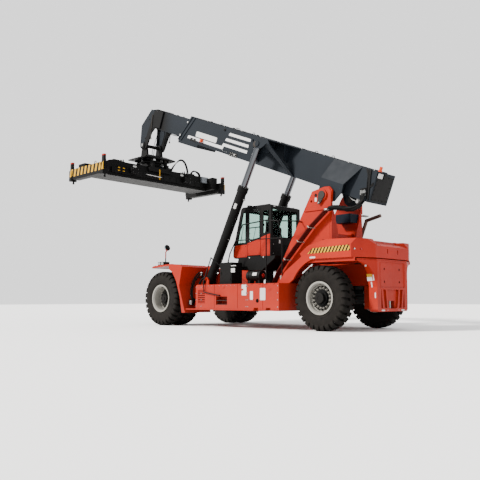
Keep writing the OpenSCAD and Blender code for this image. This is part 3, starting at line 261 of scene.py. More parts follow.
# %% One recipe for painted and plain surfaces
def finish(name, colour, rough=0.4, metal=0.0, coat=0.0, drift=0.12,
           grain=60.0, bump=0.05, dust=0.25, dust_colour=(0.075, 0.062, 0.050),
           shine=0.07):
    """A finish with drifting colour, fine bump and dust that lies low."""
    material, tree, shader = new_material(name)
    coords, place = space(tree)
    wide = noise(tree, coords, 1.1)
    fine = noise(tree, coords, grain, 4.0)
    base = ramp(tree, wide, [(0.3, tint(colour, 1 - drift)),
                             (0.7, tint(colour, 1 + drift))])
    speckle = ramp(tree, fine, [(0.35, (0, 0, 0, 1)), (0.75, (1, 1, 1, 1))])
    base = mixed(tree, 0.06, base, speckle, "OVERLAY")
    # dust: more of it low down, broken up by a wide noise
    patch = noise(tree, coords, 4.0, 5.0)
    film = reckon(tree, "MULTIPLY",
                  step(tree, place["Z"], 2.2, 0.1, last=dust), patch)
    film.node.use_clamp = True
    gloss = step(tree, patch, first=max(rough - 0.07, 0.03),
                 last=min(rough + 0.1, 1))
    for slot, value in (
            ("Base Color", mixed(tree, film, base, (*dust_colour, 1))),
            ("Roughness", gloss), ("Metallic", metal),
            ("Specular IOR Level", shine), ("Coat Weight", coat),
            ("Coat Roughness", 0.12)):
        feed(tree, shader.inputs[slot], value)
    relief = tree.nodes.new("ShaderNodeBump")
    relief.inputs["Strength"].default_value = bump
    relief.inputs["Distance"].default_value = 0.004
    tree.links.new(fine, relief.inputs["Height"])
    tree.links.new(relief.outputs["Normal"], shader.inputs["Normal"])
    return material


# %% The machine's finishes
BLACK = (0.0026, 0.0025, 0.0025)
SLATE = (0.0060, 0.0082, 0.0112)
HAZARD_YELLOW = (0.36, 0.20, 0.012)
red_paint = finish("red_paint", (0.235, 0.0115, 0.0050), 0.40, coat=0.02)
# the tower pipes get a darker red than the chassis: painted shade, as if they
# lay in shadow
pipe_red_painted_shade = finish("pipe_red_painted_shade", (0.050, 0.0050, 0.0035), 0.45)
boom_paint = finish("boom_paint", SLATE, 0.55, dust=0.0)
black_paint = finish("black_paint", BLACK, 0.5, dust=0.1)
steel = finish("dark_steel", (0.024, 0.021, 0.019), 0.5, metal=0.5)
chrome = finish("chrome", (0.085, 0.090, 0.098), 0.16, metal=1.0, drift=0.03,
                dust=0.05)
exhaust = finish("exhaust_pipe", (0.075, 0.045, 0.038), 0.42, metal=0.6,
                 drift=0.10, grain=12.0, bump=0.01, dust=0.0)
navy = finish("navy_paint", (0.0022, 0.0048, 0.0105), 0.5, dust=0.0)
rim_paint = finish("rim_paint", (0.22, 0.21, 0.185), 0.42, dust=0.35)
hose_rubber = finish("hose_rubber", (0.0045, 0.0045, 0.0045), 0.6)
amber = finish("beacon_orange", (0.45, 0.045, 0.012), 0.25, dust=0.0)
seat_cloth = finish("seat_cloth", (0.012, 0.012, 0.014), 0.9, grain=240,
                    bump=0.3)

# %% Finishes that know the centre of their wheel
def from_axle(tree, x):
    """Distance from the axle at x, in metres, seen along the axle."""
    centre = at(x, 0, TYRE_R)
    flat = tree.nodes.new("ShaderNodeVectorMath")
    flat.operation = "MULTIPLY_ADD"
    flat.inputs[1].default_value = (1, 0, 1)
    flat.inputs[2].default_value = (-centre.x, 0, -centre.z)
    tree.links.new(space(tree)[0], flat.inputs[0])
    length = tree.nodes.new("ShaderNodeVectorMath")
    length.operation = "LENGTH"
    tree.links.new(flat.outputs["Vector"], length.inputs[0])
    return length.outputs["Value"]


def painted_over(material, mask, colour):
    """Lays another colour over a finish where the mask is one."""
    tree = material.node_tree
    shader = tree.nodes["Principled BSDF"]
    under = shader.inputs["Base Color"].links[0].from_socket
    tree.links.new(mixed(tree, mask, under, (*colour, 1)),
                   shader.inputs["Base Color"])
    return material


def wheel_finishes(word, x, hub_radius):
    """Rubber that is dustier off the tread, and a rim with a dark hub."""
    tyre_finish = finish("tyre_rubber_" + word, (0.0045, 0.0038, 0.0033), 0.75,
                         drift=0.15, dust=0.0, bump=0.25)
    tree = tyre_finish.node_tree
    mask = reckon(tree, "MULTIPLY",
                  step(tree, from_axle(tree, x), 0.93, 0.80),
                  step(tree, noise(tree, space(tree)[0], 7.0, 6.0),
                       0.25, 0.95))
    painted_over(tyre_finish, mask, (0.0100, 0.0084, 0.0070))
    rim = finish("rim_paint_" + word, (0.20, 0.193, 0.172), 0.4, dust=0.3)
    for outer, inner, colour in (
            (0.362, 0.352, (0.022, 0.021, 0.019)),
            (hub_radius + 0.004, hub_radius, (0.003, 0.003, 0.003))):
        painted_over(rim, step(rim.node_tree, from_axle(rim.node_tree, x),
                               outer, inner), colour)
    return tyre_finish, rim


tyre_rubber_front, rim_front = wheel_finishes("front", WHEELBASE, 0.240)
tyre_rubber_rear, rim_rear = wheel_finishes("rear", 0.0, 0.240)

# %% Glass
glass, tree, shader = new_material("cab_glass")
smear = step(tree, noise(tree, space(tree)[0], 3.0), last=0.08)
for slot, value in (("Base Color", (0.62, 0.80, 0.74, 1)),
                    ("Transmission Weight", 1.0), ("IOR", 1.05),
                    ("Roughness", smear)):
    feed(tree, shader.inputs[slot], value)

# %% Which solid gets which finish
FINISH_OF = {
    red_paint: ["main_frame", "boom_towers", "side_box_left",
                "side_box_right", "front_fenders", "counterweight",
                "engine_hood", "cab_panels", "door_panel"],
    pipe_red_painted_shade: ["tower_pipes"],
    boom_paint: ["boom_base", "boom_inner", "boom_head"],
    chrome: ["lift_rod_left", "lift_rod_right"],
    exhaust: ["exhaust_stack"],
    steel: ["pivot_pins", "engine_block"],
    rim_paint: ["pipe_clamps"],
    rim_front: ["front_rims_left", "front_rims_right"],
    rim_rear: ["rear_rim_left", "rear_rim_right"],
    tyre_rubber_front: ["front_tyres_left", "front_tyres_right"],
    tyre_rubber_rear: ["rear_tyre_left", "rear_tyre_right"],
    hose_rubber: ["boom_hoses", "foot_hoses"],
    amber: ["boom_lamps"],
    navy: ["valve_box"],
    seat_cloth: ["cab_seat"],
    glass: ["cab_glass", "door_glass"],
}
finish_by_node = {n: m for m, names in FINISH_OF.items() for n in names}
for name, obj in nodes.items():
    obj.data.materials.clear()
    obj.data.materials.append(finish_by_node.get(name, black_paint))
print("finished solids:", len(nodes))

# %% [markdown]
# ## A maker of small pieces
# Nearly every small piece of a machine is a plate, a bar, a bent tube or
# something turned on a lathe. The maker below gathers such forms in one mesh,
# so that a whole row of bolts is one piece, and the piece then rides on the
# body that it is bolted to. Edges get a small bevel, since no cast or welded
# part has a knife edge, and only the bends sharper than 35 degrees stay hard.

# %% The maker
SIDES = {1: "left", -1: "right"}


def around(count):
    """Evenly spaced angles of one full turn."""
    return [2*math.pi*k/count for k in range(count)]


def as_is(x, y, z):
    """A point of the scene, not moved."""
    return Vector((x, y, z))


def smooth_path(points, steps=6):
    """A finer path through the points, bent like a stiff hose."""
    p = [Vector(q) for q in points]
    p = [p[0]*2 - p[1]] + p + [p[-1]*2 - p[-2]]
    fine = []
    for i in range(1, len(p) - 2):
        for k in range(steps):
            u = k/steps
            fine.append(0.5*((2*p[i]) + (p[i + 1] - p[i - 1])*u
                + (2*p[i - 1] - 5*p[i] + 4*p[i + 1] - p[i + 2])*u*u
                + (3*p[i] - p[i - 1] - 3*p[i + 1] + p[i + 2])*u**3))
    return fine + [p[-2]]


class Maker:
    """Gathers forms in one frame of measures and makes one piece of them."""

    def __init__(self, place=at):
        self.bm, self.place = bmesh.new(), place

    def add(self, points, faces):
        """Corners and faces as they are."""
        made = [self.bm.verts.new(self.place(*p)) for p in points]
        for face in faces:
            self.bm.faces.new([made[i] for i in face])
        return self

    def block(self, x0, x1, y0, y1, z0, z1):
        """A box between two corners."""
        return self.add([(x, y, z) for x in (x0, x1) for y in (y0, y1)
                         for z in (z0, z1)],
                        [(0, 1, 3, 2), (4, 6, 7, 5), (0, 4, 5, 1),
                         (2, 3, 7, 6), (0, 2, 6, 4), (1, 5, 7, 3)])

    def plate(self, outline, axis, low, high):
        """A flat outline given a thickness along an axis."""
        order = {"x": (2, 0, 1), "y": (0, 2, 1), "z": (0, 1, 2)}[axis]
        n = len(outline)
        points = []
        for depth in (low, high):
            for a, b in outline:
                point = (a, b, depth)
                points.append(tuple(point[i] for i in order))
        return self.add(points, [tuple(range(n)), tuple(range(2*n - 1,
            n - 1, -1))] + [(i, (i + 1) % n, (i + 1) % n + n, i + n)
            for i in range(n)])

    def rings(self, rings, caps=True):
        """A skin over rings of equally many points."""
        n = len(rings[0])
        points = [p for ring in rings for p in ring]
        faces = [(r*n + i, r*n + (i + 1) % n, (r + 1)*n + (i + 1) % n,
                  (r + 1)*n + i) for r in range(len(rings) - 1)
                 for i in range(n)]
        if caps:
            faces += [tuple(range(n)),
                      tuple(range(len(points) - 1, len(points) - n - 1, -1))]
        return self.add(points, faces)

    def tube(self, path, radius, sides=10):
        """A round bar or hose along a path."""
        path = [Vector(p) for p in path]
        side, rings = None, []
        for i, point in enumerate(path):
            along = (path[min(i + 1, len(path) - 1)]
                     - path[max(i - 1, 0)]).normalized()
            if side is None:
                side = along.orthogonal().normalized()
            side = (side - along*side.dot(along)).normalized()
            up = along.cross(side)
            rings.append([tuple(point + radius*(math.cos(a)*side
                + math.sin(a)*up)) for a in around(sides)])
        return self.rings(rings)

    def turned(self, profile, centre, axis, sides=32):
        """A lathe form: (radius, height) pairs up an axis."""
        axis = Vector(axis).normalized()
        side = axis.orthogonal().normalized()
        if abs(axis.z) < 0.9:
            side = axis.cross(Vector((0, 0, 1))).normalized()
        up, centre = axis.cross(side), Vector(centre)
        return self.rings([[tuple(centre + axis*h + r*(math.cos(a)*side
            + math.sin(a)*up)) for a in around(sides)]
            for r, h in profile])

    def bolt(self, centre, axis, size=0.016):
        """A hexagon head on its washer."""
        self.turned([(size*1.35, 0), (size*1.35, size*0.22),
                     (size*1.2, size*0.26)], centre, axis, 14)
        return self.turned([(size, size*0.2), (size, size*0.95),
            (size*0.86, size*1.1)], centre, axis, 6)

    def bolt_ring(self, count, radius, centre, axis, size, first=0):
        """Bolts round a centre, the first one at an angle in degrees."""
        x, y, z = centre
        for k in range(count):
            a = math.radians(first + 360*k/count)
            c, s = radius*math.cos(a), radius*math.sin(a)
            self.bolt((x + c, y + s, z) if axis[2] else (x + c, y, z + s),
                      axis, size)
        return self

    def done(self, name, body, material, bevel=0.0, angle=35):
        """The piece itself, shaded, bevelled and riding on its body."""
        bmesh.ops.recalc_face_normals(self.bm, faces=self.bm.faces)
        mesh = bpy.data.meshes.new(name)
        self.bm.to_mesh(mesh)
        self.bm.free()
        mesh.materials.append(material)
        for face in mesh.polygons:
            face.use_smooth = True
        mesh.set_sharp_from_angle(angle=math.radians(angle))
        obj = bpy.data.objects.new(name, mesh)
        scene.collection.objects.link(obj)
        if bevel:
            edge = obj.modifiers.new("edge", "BEVEL")
            edge.width, edge.segments = bevel, 2
            edge.limit_method, edge.angle_limit = "ANGLE", math.radians(40)
            edge.harden_normals = True
        if body:
            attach(obj, body)
        return obj


# %% Measures along the boom
BOOM_TILT, PIVOT_X, PIVOT_Z = math.radians(21.6), 0.450, 4.040


def on_boom(u, y, v):
    """U runs up the boom from its pivot, V stands square to it."""
    return at(PIVOT_X + u*math.cos(BOOM_TILT) - v*math.sin(BOOM_TILT), y,
              PIVOT_Z + u*math.sin(BOOM_TILT) + v*math.cos(BOOM_TILT))


def lined(count, first, last):
    """Evenly spaced numbers from first to last."""
    return [first + (last - first)*i/(count - 1) for i in range(count)]

# %% [markdown]
# ## Tyres
# A lugged tyre is a smooth carcass with a row of bars round each shoulder.
# Each bar starts near the middle of the tread, widens to the shoulder and
# runs down the side wall until it fades. It is lofted from four-cornered
# sections that follow the tyre's own curve. The bars of the two shoulders
# stand half a pitch apart, which is what makes the herringbone.

# %% One lugged tyre
CARCASS = [(0.452, 0.186), (0.470, 0.200), (0.500, 0.214), (0.508, 0.222),
           (0.560, 0.236), (0.566, 0.231), (0.600, 0.241), (0.660, 0.2465),
           (0.700, 0.2475), (0.745, 0.2455), (0.785, 0.239), (0.790, 0.234),
           (0.822, 0.222), (0.850, 0.196), (0.866, 0.150), (0.874, 0.080),
           (0.876, 0.0)]
LUG_TOP = [(0.9375, -0.035), (0.9375, 0.02), (0.937, 0.08), (0.935, 0.135),
           (0.929, 0.180), (0.915, 0.212), (0.893, 0.232), (0.860, 0.2425),
           (0.820, 0.2465), (0.786, 0.2455), (0.772, 0.238)]
LUG_FOOT = [(0.868, -0.035), (0.870, 0.02), (0.866, 0.08), (0.862, 0.13),
            (0.852, 0.165), (0.838, 0.190), (0.824, 0.208), (0.806, 0.220),
            (0.790, 0.228), (0.776, 0.232), (0.768, 0.234)]
LUG_COUNT = 28


def tyre(name, node, body, x, centres, rubber_finish):
    """Lugged tyres side by side on one axle end, for one CAD node."""
    made = Maker()
    scale = TYRE_R/0.9375

    def ring_point(r, y, turn, centre):
        return (x + r*scale*math.sin(turn), centre + y,
                TYRE_R + r*scale*math.cos(turn))

    outline = CARCASS + [(r, -y) for r, y in reversed(CARCASS[:-1])]
    for centre in centres:
        made.rings([[ring_point(r, y, turn, centre)
                     for r, y in outline] for turn in around(112)] +
                   [[ring_point(r, y, 0, centre) for r, y in outline]],
                   caps=False)
        for side in SIDES:
            for k in range(LUG_COUNT):
                first = 2*math.pi*(k + (0.25 if side > 0 else -0.25))
                first /= LUG_COUNT
                rings = []
                for i, ((rt, yt), (rf, yf)) in enumerate(
                        zip(LUG_TOP, LUG_FOOT)):
                    t = i/(len(LUG_TOP) - 1)
                    middle = first + side*0.052*min(t*1.6, 1)
                    wide = 0.058 + 0.018*min(t*2, 1) - 0.010*max(t - 0.6, 0)
                    rings.append([
                        ring_point(rf, side*yf, middle - wide*1.12, centre),
                        ring_point(rt, side*yt, middle - wide, centre),
                        ring_point(rt, side*yt, middle + wide, centre),
                        ring_point(rf, side*yf, middle + wide*1.12, centre)])
                made.rings(rings)
    bmesh.ops.remove_doubles(made.bm, verts=made.bm.verts, dist=1e-5)
    obj = made.done(name, body, rubber_finish, angle=30)
    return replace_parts(obj, node)


FRONT_OUT, FRONT_IN, REAR_Y = 1.850, 1.260, 1.370
for side, word in SIDES.items():
    tyre("lugged_front_tyres_" + word, "front_tyres_" + word,
         "front_%s_wheels" % word, WHEELBASE,
         [side*FRONT_OUT, side*FRONT_IN], tyre_rubber_front)
    tyre("lugged_rear_tyre_" + word, "rear_tyre_" + word,
         "rear_%s_wheel" % word, 0.0, [side*REAR_Y], tyre_rubber_rear)
print("tyres: 6, lugs:", 6*2*LUG_COUNT)

# %% [markdown]
# ## Hubs and studs
# The rear wheels show a dark domed hub inside a ring of clamping wedges. The
# front wheels are dished deep, with the planetary hub far inside. Studs with
# nuts, a ring of cover bolts, the lock ring at the lip and a valve stem make
# the scale of the wheel readable.

# %% Wheel details
for side, word in SIDES.items():
    out = (0, side, 0)
    # rear: wedges' nuts, hub dome and its bolts
    face = side*(REAR_Y + 0.149)
    nuts = Maker()
    for k in range(16):
        a = 2*math.pi*(k + 0.5)/16
        nuts.turned([(0.030, 0), (0.030, 0.006), (0.017, 0.008),
                     (0.017, 0.034), (0.011, 0.038), (0.011, 0.050),
                     (0.008, 0.052)], (0.290*math.sin(a),
            side*(REAR_Y + 0.090), TYRE_R + 0.290*math.cos(a)), out, 8)
    nuts.done("rear_wheel_nuts_" + word, "rear_%s_wheel" % word, rim_paint)
    dome = Maker()
    dome.turned([(0.156, 0), (0.156, 0.010), (0.150, 0.018), (0.120, 0.021),
                 (0.116, 0.0175), (0.060, 0.0185), (0.056, 0.010),
                 (0.001, 0.010)], (0, side*(REAR_Y + 0.2285), TYRE_R), out,
                48)
    dome.bolt_ring(12, 0.185, (0, side*(REAR_Y + 0.1488), TYRE_R), out,
                   0.013)
    dome.bolt_ring(12, 0.134, (0, side*(REAR_Y + 0.2460), TYRE_R),
                   (0, -side, 0), 0.001)
    dome.done("rear_hub_dome_" + word, "rear_%s_wheel" % word, black_paint)
    # front: nuts round the dished disc and the planetary hub
    nuts = Maker()
    for a in around(24):
        nuts.turned([(0.024, 0), (0.024, 0.005), (0.016, 0.007),
                     (0.016, 0.026), (0.010, 0.028), (0.010, 0.042)],
            (WHEELBASE + 0.345*math.sin(a), side*(FRONT_OUT - 0.060),
             TYRE_R + 0.345*math.cos(a)), out, 8)
    nuts.done("front_wheel_nuts_" + word, "front_%s_wheels" % word,
              rim_paint)
    hub = Maker()
    hub.turned([(0.150, 0), (0.150, 0.016), (0.138, 0.030), (0.070, 0.034),
                (0.064, 0.052), (0.001, 0.054)],
               (WHEELBASE, side*(FRONT_OUT + 0.0599), TYRE_R), out, 40)
    hub.bolt_ring(10, 0.118, (WHEELBASE, side*(FRONT_OUT + 0.092), TYRE_R),
                  out, 0.011, 90)
    hub.done("front_hub_cover_" + word, "front_%s_wheels" % word,
             black_paint)
    # lock ring and valve stem at each outer lip
    for x, y, body in ((WHEELBASE, FRONT_OUT, "front_%s_wheels" % word),
                       (0.0, REAR_Y, "rear_%s_wheel" % word)):
        trim = Maker()
        rim_ring = [(0.4305, 0.2085), (0.4415, 0.2085), (0.4430, 0.2130),
                    (0.4370, 0.2165), (0.4300, 0.2130)]
        trim.rings([[(x + r*math.sin(a), side*(y + h), TYRE_R
            + r*math.cos(a)) for r, h in rim_ring] for a in
            (2*math.pi*k/96 for k in range(97))], caps=False)
        trim.tube([(x + 0.06, side*(y + 0.10), TYRE_R + 0.385),
                   (x + 0.06, side*(y + 0.17), TYRE_R + 0.375),
                   (x + 0.06, side*(y + 0.19), TYRE_R + 0.372)], 0.007, 8)
        trim.done(("front" if x else "rear") + "_lock_ring_" + word, body,
                  rim_paint)
print("wheel details made")

# %% [markdown]
# ## Chassis and side boxes
# The long side boxes are bolted on: columns of bolt heads mark the joints of
# the side wall, and the step, the grille and the round filler hole sit in
# recesses. The blank white plates stand where such a machine has its
# signs. They are thin plates with rounded corners, riveted at the corners.

# %% Blank plates
def rounded(cx, cz, wide, high, radius, steps=4):
    """Outline of a rounded rectangle round a centre."""
    points = []
    for sx, sz, first in ((1, 1, 0), (-1, 1, 90), (-1, -1, 180),
                          (1, -1, 270)):
        for k in range(steps + 1):
            a = math.radians(first + 90*k/steps)
            points.append((cx + sx*(wide/2 - radius) + radius*math.cos(a),
                           cz + sz*(high/2 - radius) + radius*math.sin(a)))
    return points


plate_white = finish("plate_white", (0.42, 0.42, 0.41), 0.45, drift=0.05,
                     dust=0.1)
label_yellow = finish("label_yellow", (0.36, 0.19, 0.012), 0.4, drift=0.05)
lens_clear = finish("lens_clear", (0.32, 0.33, 0.33), 0.12, coat=0.6,
                    drift=0.05, dust=0.05)
lens_red = finish("lens_red", (0.22, 0.008, 0.007), 0.15, coat=0.6,
                  drift=0.1, dust=0.05)
zinc = finish("zinc_steel", (0.22, 0.22, 0.215), 0.35, metal=0.9,
              drift=0.1, dust=0.05)

SIDE_Y = 2.0
PLATES = [(2.62, 1.19, 0.20, 0.33), (2.30, 1.02, 0.12, 0.26),
          (1.83, 1.06, 0.22, 0.36)]
for side, word in SIDES.items():
    signs = Maker()
    for x, z, wide, high in PLATES:
        signs.plate(rounded(x, z, wide, high, 0.02), "y", side*SIDE_Y,
                    side*(SIDE_Y + 0.003))
    signs.done("side_plates_" + word, "chassis", plate_white)
    rivets = Maker()
    for x, z, wide, high in PLATES:
        for sx in (-1, 1):
            for sz in (-1, 1):
                rivets.turned([(0.007, 0), (0.006, 0.003), (0.002, 0.005)],
                    (x + sx*(wide/2 - 0.018), side*(SIDE_Y + 0.003),
                     z + sz*(high/2 - 0.018)), (0, side, 0), 10)
    # bolt columns of the box joints
    for x in (1.225, 2.455, 2.525, 4.62, 4.87):
        for z in lined(4, 0.68, 1.30):
            rivets.bolt((x, side*SIDE_Y, z), (0, side, 0), 0.013)
    for x in lined(9, 3.05, 4.45):
        rivets.bolt((x, side*SIDE_Y, 1.335), (0, side, 0), 0.009)
    rivets.done("side_bolts_" + word, "chassis", zinc)

# %% [markdown]
# The doors of the side boxes have hinges along the top and a paddle latch.
# The step inside the recess has a toothed tread, which is a row of small
# raised teeth on a folded sheet, so that a wet boot holds.

# %% Doors, latches, step and filler
for side, word in SIDES.items():
    doors = Maker()
    for x0, x1 in ((1.28, 1.80), (1.86, 2.40), (2.58, 2.86)):
        for k in (0.2, 0.8):
            x = x0 + (x1 - x0)*k
            doors.turned([(0.012, 0), (0.014, 0.004), (0.014, 0.086),
                          (0.012, 0.09)], (x - 0.045, side*(SIDE_Y + 0.004),
                         1.366), (1, 0, 0), 12)
    for x in (1.54, 2.70, 3.55):
        doors.plate(rounded(x, 1.20 if x < 3 else 1.28, 0.11, 0.06, 0.012),
                    "y", side*SIDE_Y, side*(SIDE_Y + 0.005))
        doors.plate(rounded(x - 0.012, 1.20 if x < 3 else 1.28, 0.06, 0.034,
                            0.008), "y", side*(SIDE_Y + 0.004),
                    side*(SIDE_Y + 0.012))
    doors.done("side_doors_" + word, "chassis", red_paint, 0.0015)
    tread = Maker()
    for z in (0.735, 0.86):
        tread.block(3.400, 3.880, side*(SIDE_Y - 0.205),
                    side*(SIDE_Y - 0.012), z, z + 0.012)
        for x in lined(17, 3.42, 3.86):
            for y in lined(5, SIDE_Y - 0.185, SIDE_Y - 0.03):
                tread.turned([(0.011, 0), (0.009, 0.007), (0.006, 0.007),
                              (0.006, 0.002)], (x, side*y, z + 0.012),
                             (0, 0, 1), 8)
    tread.done("step_treads_" + word, "chassis", steel)
    filler = Maker()
    x, z = 2.050, 0.860
    filler.turned([(0.050, -0.058), (0.050, -0.004), (0.060, 0.0),
                   (0.060, 0.004), (0.046, 0.004), (0.044, -0.050),
                   (0.030, -0.052), (0.028, -0.030), (0.001, -0.028)],
                  (x, side*SIDE_Y, z), (0, side, 0), 28)
    filler.done("filler_cup_" + word, "chassis", black_paint)
    # mesh in the grille recess: woven bars behind the slats
    mesh_bars = Maker()
    for x in lined(22, 4.45, 4.775):
        mesh_bars.block(x - 0.002, x + 0.002, side*(SIDE_Y - 0.024),
                        side*(SIDE_Y - 0.020), 0.785, 1.205)
    for z in lined(28, 0.79, 1.20):
        mesh_bars.block(4.445, 4.780, side*(SIDE_Y - 0.0255),
                        side*(SIDE_Y - 0.0235), z - 0.002, z + 0.002)
    mesh_bars.done("grille_mesh_" + word, "chassis", black_paint)
print("side boxes dressed")

# %% [markdown]
# ## Front fenders, lamps and mirrors
# The lamp heads on the fenders are die-cast boxes with a lens and a guard.
# The mirror is a shallow dish whose glass really reflects. Low at the foot of
# the fender stand a white lamp and a round horn with its mesh.

# %% Lamps on the fenders
for side, word in SIDES.items():
    x0 = WHEELBASE + 0.020
    heads, lenses = Maker(), Maker()
    for k in range(2):
        cx = x0 + 0.095 + 0.175*k
        heads.plate(rounded(cx, 2.168, 0.150, 0.100, 0.018), "y",
                    side*1.9399, side*1.952)
        lenses.plate(rounded(cx, 2.168, 0.126, 0.078, 0.014), "y",
                     side*1.952, side*1.956)
        for z in lined(3, 2.148, 2.188):
            heads.block(cx - 0.07, cx + 0.07, side*1.956, side*1.960,
                        z - 0.002, z + 0.002)
    for z in lined(5, 2.12, 2.215):
        heads.block(x0 + 0.01, x0 + 0.35, side*1.694, side*1.7001,
                    z - 0.004, z + 0.004)
    heads.done("fender_lamp_heads_" + word, "chassis", black_paint, 0.001)
    lenses.done("fender_lamp_lenses_" + word, "chassis", lens_clear)
    mirror = Maker()
    centre = Vector((WHEELBASE - 0.180, side*1.980, 2.700))
    facing = Vector((math.sin(math.radians(-70)), 0,
                     math.cos(math.radians(-70))))
    mirror.turned([(0.104, -0.0005), (0.104, -0.004), (0.098, -0.009),
                   (0.060, -0.016), (0.001, -0.019)], centre, facing, 40)
    mirror.done("mirror_glass_" + word, "chassis", chrome)
    rim = Maker()
    rim.turned([(0.1085, 0.0005), (0.1095, 0.004), (0.1095, 0.036),
                (0.100, 0.046), (0.050, 0.056), (0.001, 0.060)], centre,
               facing, 40)
    rim.done("mirror_back_" + word, "chassis", black_paint)
    foot = Maker()
    fx = WHEELBASE - 1.3 - 0.060
    foot.turned([(0.052, 0), (0.056, 0.008), (0.050, 0.030), (0.040, 0.034)],
                (fx, side*1.75, 0.80), (-1, 0, 0), 28)
    for k in range(5):
        foot.turned([(0.034 - 0.006*k, 0.034), (0.036 - 0.006*k, 0.037),
                     (0.032 - 0.006*k, 0.038)], (fx, side*1.75, 0.80),
                    (-1, 0, 0), 24)
    foot.done("horn_" + word, "chassis", black_paint)
    lamp = Maker()
    lamp.plate(rounded(side*1.85, 0.80, 0.076, 0.150, 0.030), "x",
               fx - 0.001, fx - 0.026)
    lamp.done("foot_lamp_" + word, "chassis", lens_clear, 0.003)
    bolts = Maker()
    for x, z in ((-0.55, 2.122), (0.10, 2.103), (0.40, 2.088)):
        for y in (1.35, 1.60, 2.03):
            if y > 1.95 or x < 0.35:
                bolts.bolt((WHEELBASE + x, side*y, z), (0, 0, 1), 0.012)
    bolts.done("fender_bolts_" + word, "chassis", zinc)
print("fenders dressed")

# %% [markdown]
# ## Hood, hazard bands and counterweight
# The hazard band is a thin plate that lies on the slanted side of the hood.
# Its stripes are cut from the plate's own slant in space by a wave of
# position, so they need no picture: the node adds height to length, wraps
# the sum round every stripe pitch and picks yellow or black.

# %% Striped finish
def striped(name, along, pitch):
    """Stripes square to a direction, half of each pitch dark."""
    material = finish(name, HAZARD_YELLOW, 0.42, dust=0.15)
    tree = material.node_tree
    wave = reckon(tree, "WRAP", measured(tree, along), pitch, 0)
    return painted_over(material, step(tree, wave, pitch/2, pitch/2 + 0.002),
                        (0.003, 0.003, 0.003))


hazard_hood = striped("hazard_hood", (1, 0, 0.56), 0.116)
HOOD_SIDE_Y = 1.55
for side, word in SIDES.items():
    band = Maker()
    band.plate([(0.46, 2.215), (0.30, 2.370), (-1.02, 2.405),
                (-1.05, 2.245)], "y", side*HOOD_SIDE_Y,
               side*(HOOD_SIDE_Y + 0.004))
    band.done("hazard_band_" + word, "chassis", hazard_hood, 0.001)
    trim = Maker()
    trim.plate(rounded(0.28, 2.105, 0.20, 0.045, 0.008), "y",
               side*HOOD_SIDE_Y, side*(HOOD_SIDE_Y + 0.003))
    trim.plate(rounded(-1.225, 1.905, 0.05, 0.19, 0.006), "y", side*1.06,
               side*1.07)
    trim.done("hood_plates_" + word, "chassis", plate_white)

# %% [markdown]
# The lamp pockets in the corner of the hood take two round lamps, one clear
# and one red, each with a turned rim. Louvres, hinges, latches and lifting
# eyes follow on top. The rear face has a latched grille between bolts.

# %% Lamps in the pockets
for side, word in SIDES.items():
    for x, one in ((-1.130, lens_clear), (-1.230, lens_red)):
        y = HOOD_SIDE_Y + (x + 1.080)*1.78
        a = math.radians(61)
        out = Vector((-math.sin(a), side*math.cos(a), 0))
        centre = Vector((x, side*(y - 0.012), 2.290))
        lamp = Maker()
        lamp.turned([(0.022, 0.0), (0.022, 0.006), (0.016, 0.012),
                     (0.001, 0.015)], centre, out, 20)
        lamp.done("corner_lamp_%s_%d" % (word, round(-x*100)), "chassis",
                  one)

# %% Louvres, hinges and latches of the hood
louvres = Maker()
for side in SIDES:
    for x in lined(9, -0.95, -0.35):
        louvres.plate([(side*0.98, 2.617), (side*1.24, 2.604),
                       (side*1.24, 2.611), (side*0.98, 2.624)], "x", x,
                      x + 0.035)
    for x in (-0.9, -0.4):
        louvres.block(x - 0.06, x + 0.06, side*0.93, side*0.95, 2.610, 2.626)
louvres.done("hood_louvres", "chassis", red_paint, 0.002)
fittings = Maker()
for side in SIDES:
    for x in (-0.85, 0.05):
        fittings.tube([(x - 0.05, side*1.30, 2.606),
                       (x - 0.05, side*1.30, 2.624),
                       (x + 0.05, side*1.30, 2.624),
                       (x + 0.05, side*1.30, 2.606)], 0.008, 8)
    for y in (0.25, 0.62):
        fittings.bolt((-1.300, side*y, 2.4773), (0, 0, 1), 0.013)
fittings.done("hood_fittings", "chassis", black_paint)
grille = Maker()
for z in lined(7, 2.13, 2.33):
    grille.plate([(-1.4375, z), (-1.4395, z + 0.004), (-1.4395, z + 0.012),
                  (-1.4375, z + 0.016)], "y", -0.22, 0.22)
grille.done("rear_grille", "chassis", black_paint, 0.001)

# %% [markdown]
# ## The rear face
# The casting carries two rows of round cover plugs, blank plates and
# reflectors along its edges, and a towing pin with a handle in its pocket.
# A thick rolled lip frames the sunk panel, as cast weights have.

# %% Counterweight pieces
REAR_X = -1.430
lip = Maker()
lip.tube(smooth_path([(REAR_X, 0.655, 1.93), (REAR_X, 0.655, 1.32),
    (REAR_X, 0.60, 1.235), (REAR_X, 0.0, 1.215), (REAR_X, -0.60, 1.235),
    (REAR_X, -0.655, 1.32), (REAR_X, -0.655, 1.93)], 6), 0.0095, 8)
lip.done("rear_panel_lip", "chassis", red_paint)
plugs = Maker()
for y in (-0.40, 0.40):
    for z in (1.40, 1.76):
        plugs.turned([(0.035, -0.075), (0.035, -0.045), (0.028, -0.04),
                      (0.001, -0.04)], (REAR_X, y, z), (-1, 0, 0), 24)
plugs.done("rear_plugs", "chassis", black_paint)
pin = Maker()
pin.turned([(0.0295, 0), (0.0295, 0.34), (0.040, 0.344), (0.040, 0.362),
            (0.028, 0.368), (0.001, 0.368)], (REAR_X + 0.120, 0, 0.5605),
           (0, 0, 1), 28)
pin.tube(smooth_path([(REAR_X + 0.12, -0.02, 0.925),
    (REAR_X + 0.12, -0.03, 0.975), (REAR_X + 0.12, 0.0, 0.998),
    (REAR_X + 0.12, 0.03, 0.975), (REAR_X + 0.12, 0.02, 0.925)], 5), 0.007)
pin.done("towing_pin", "chassis", zinc)
marks, lamps = Maker(), Maker()
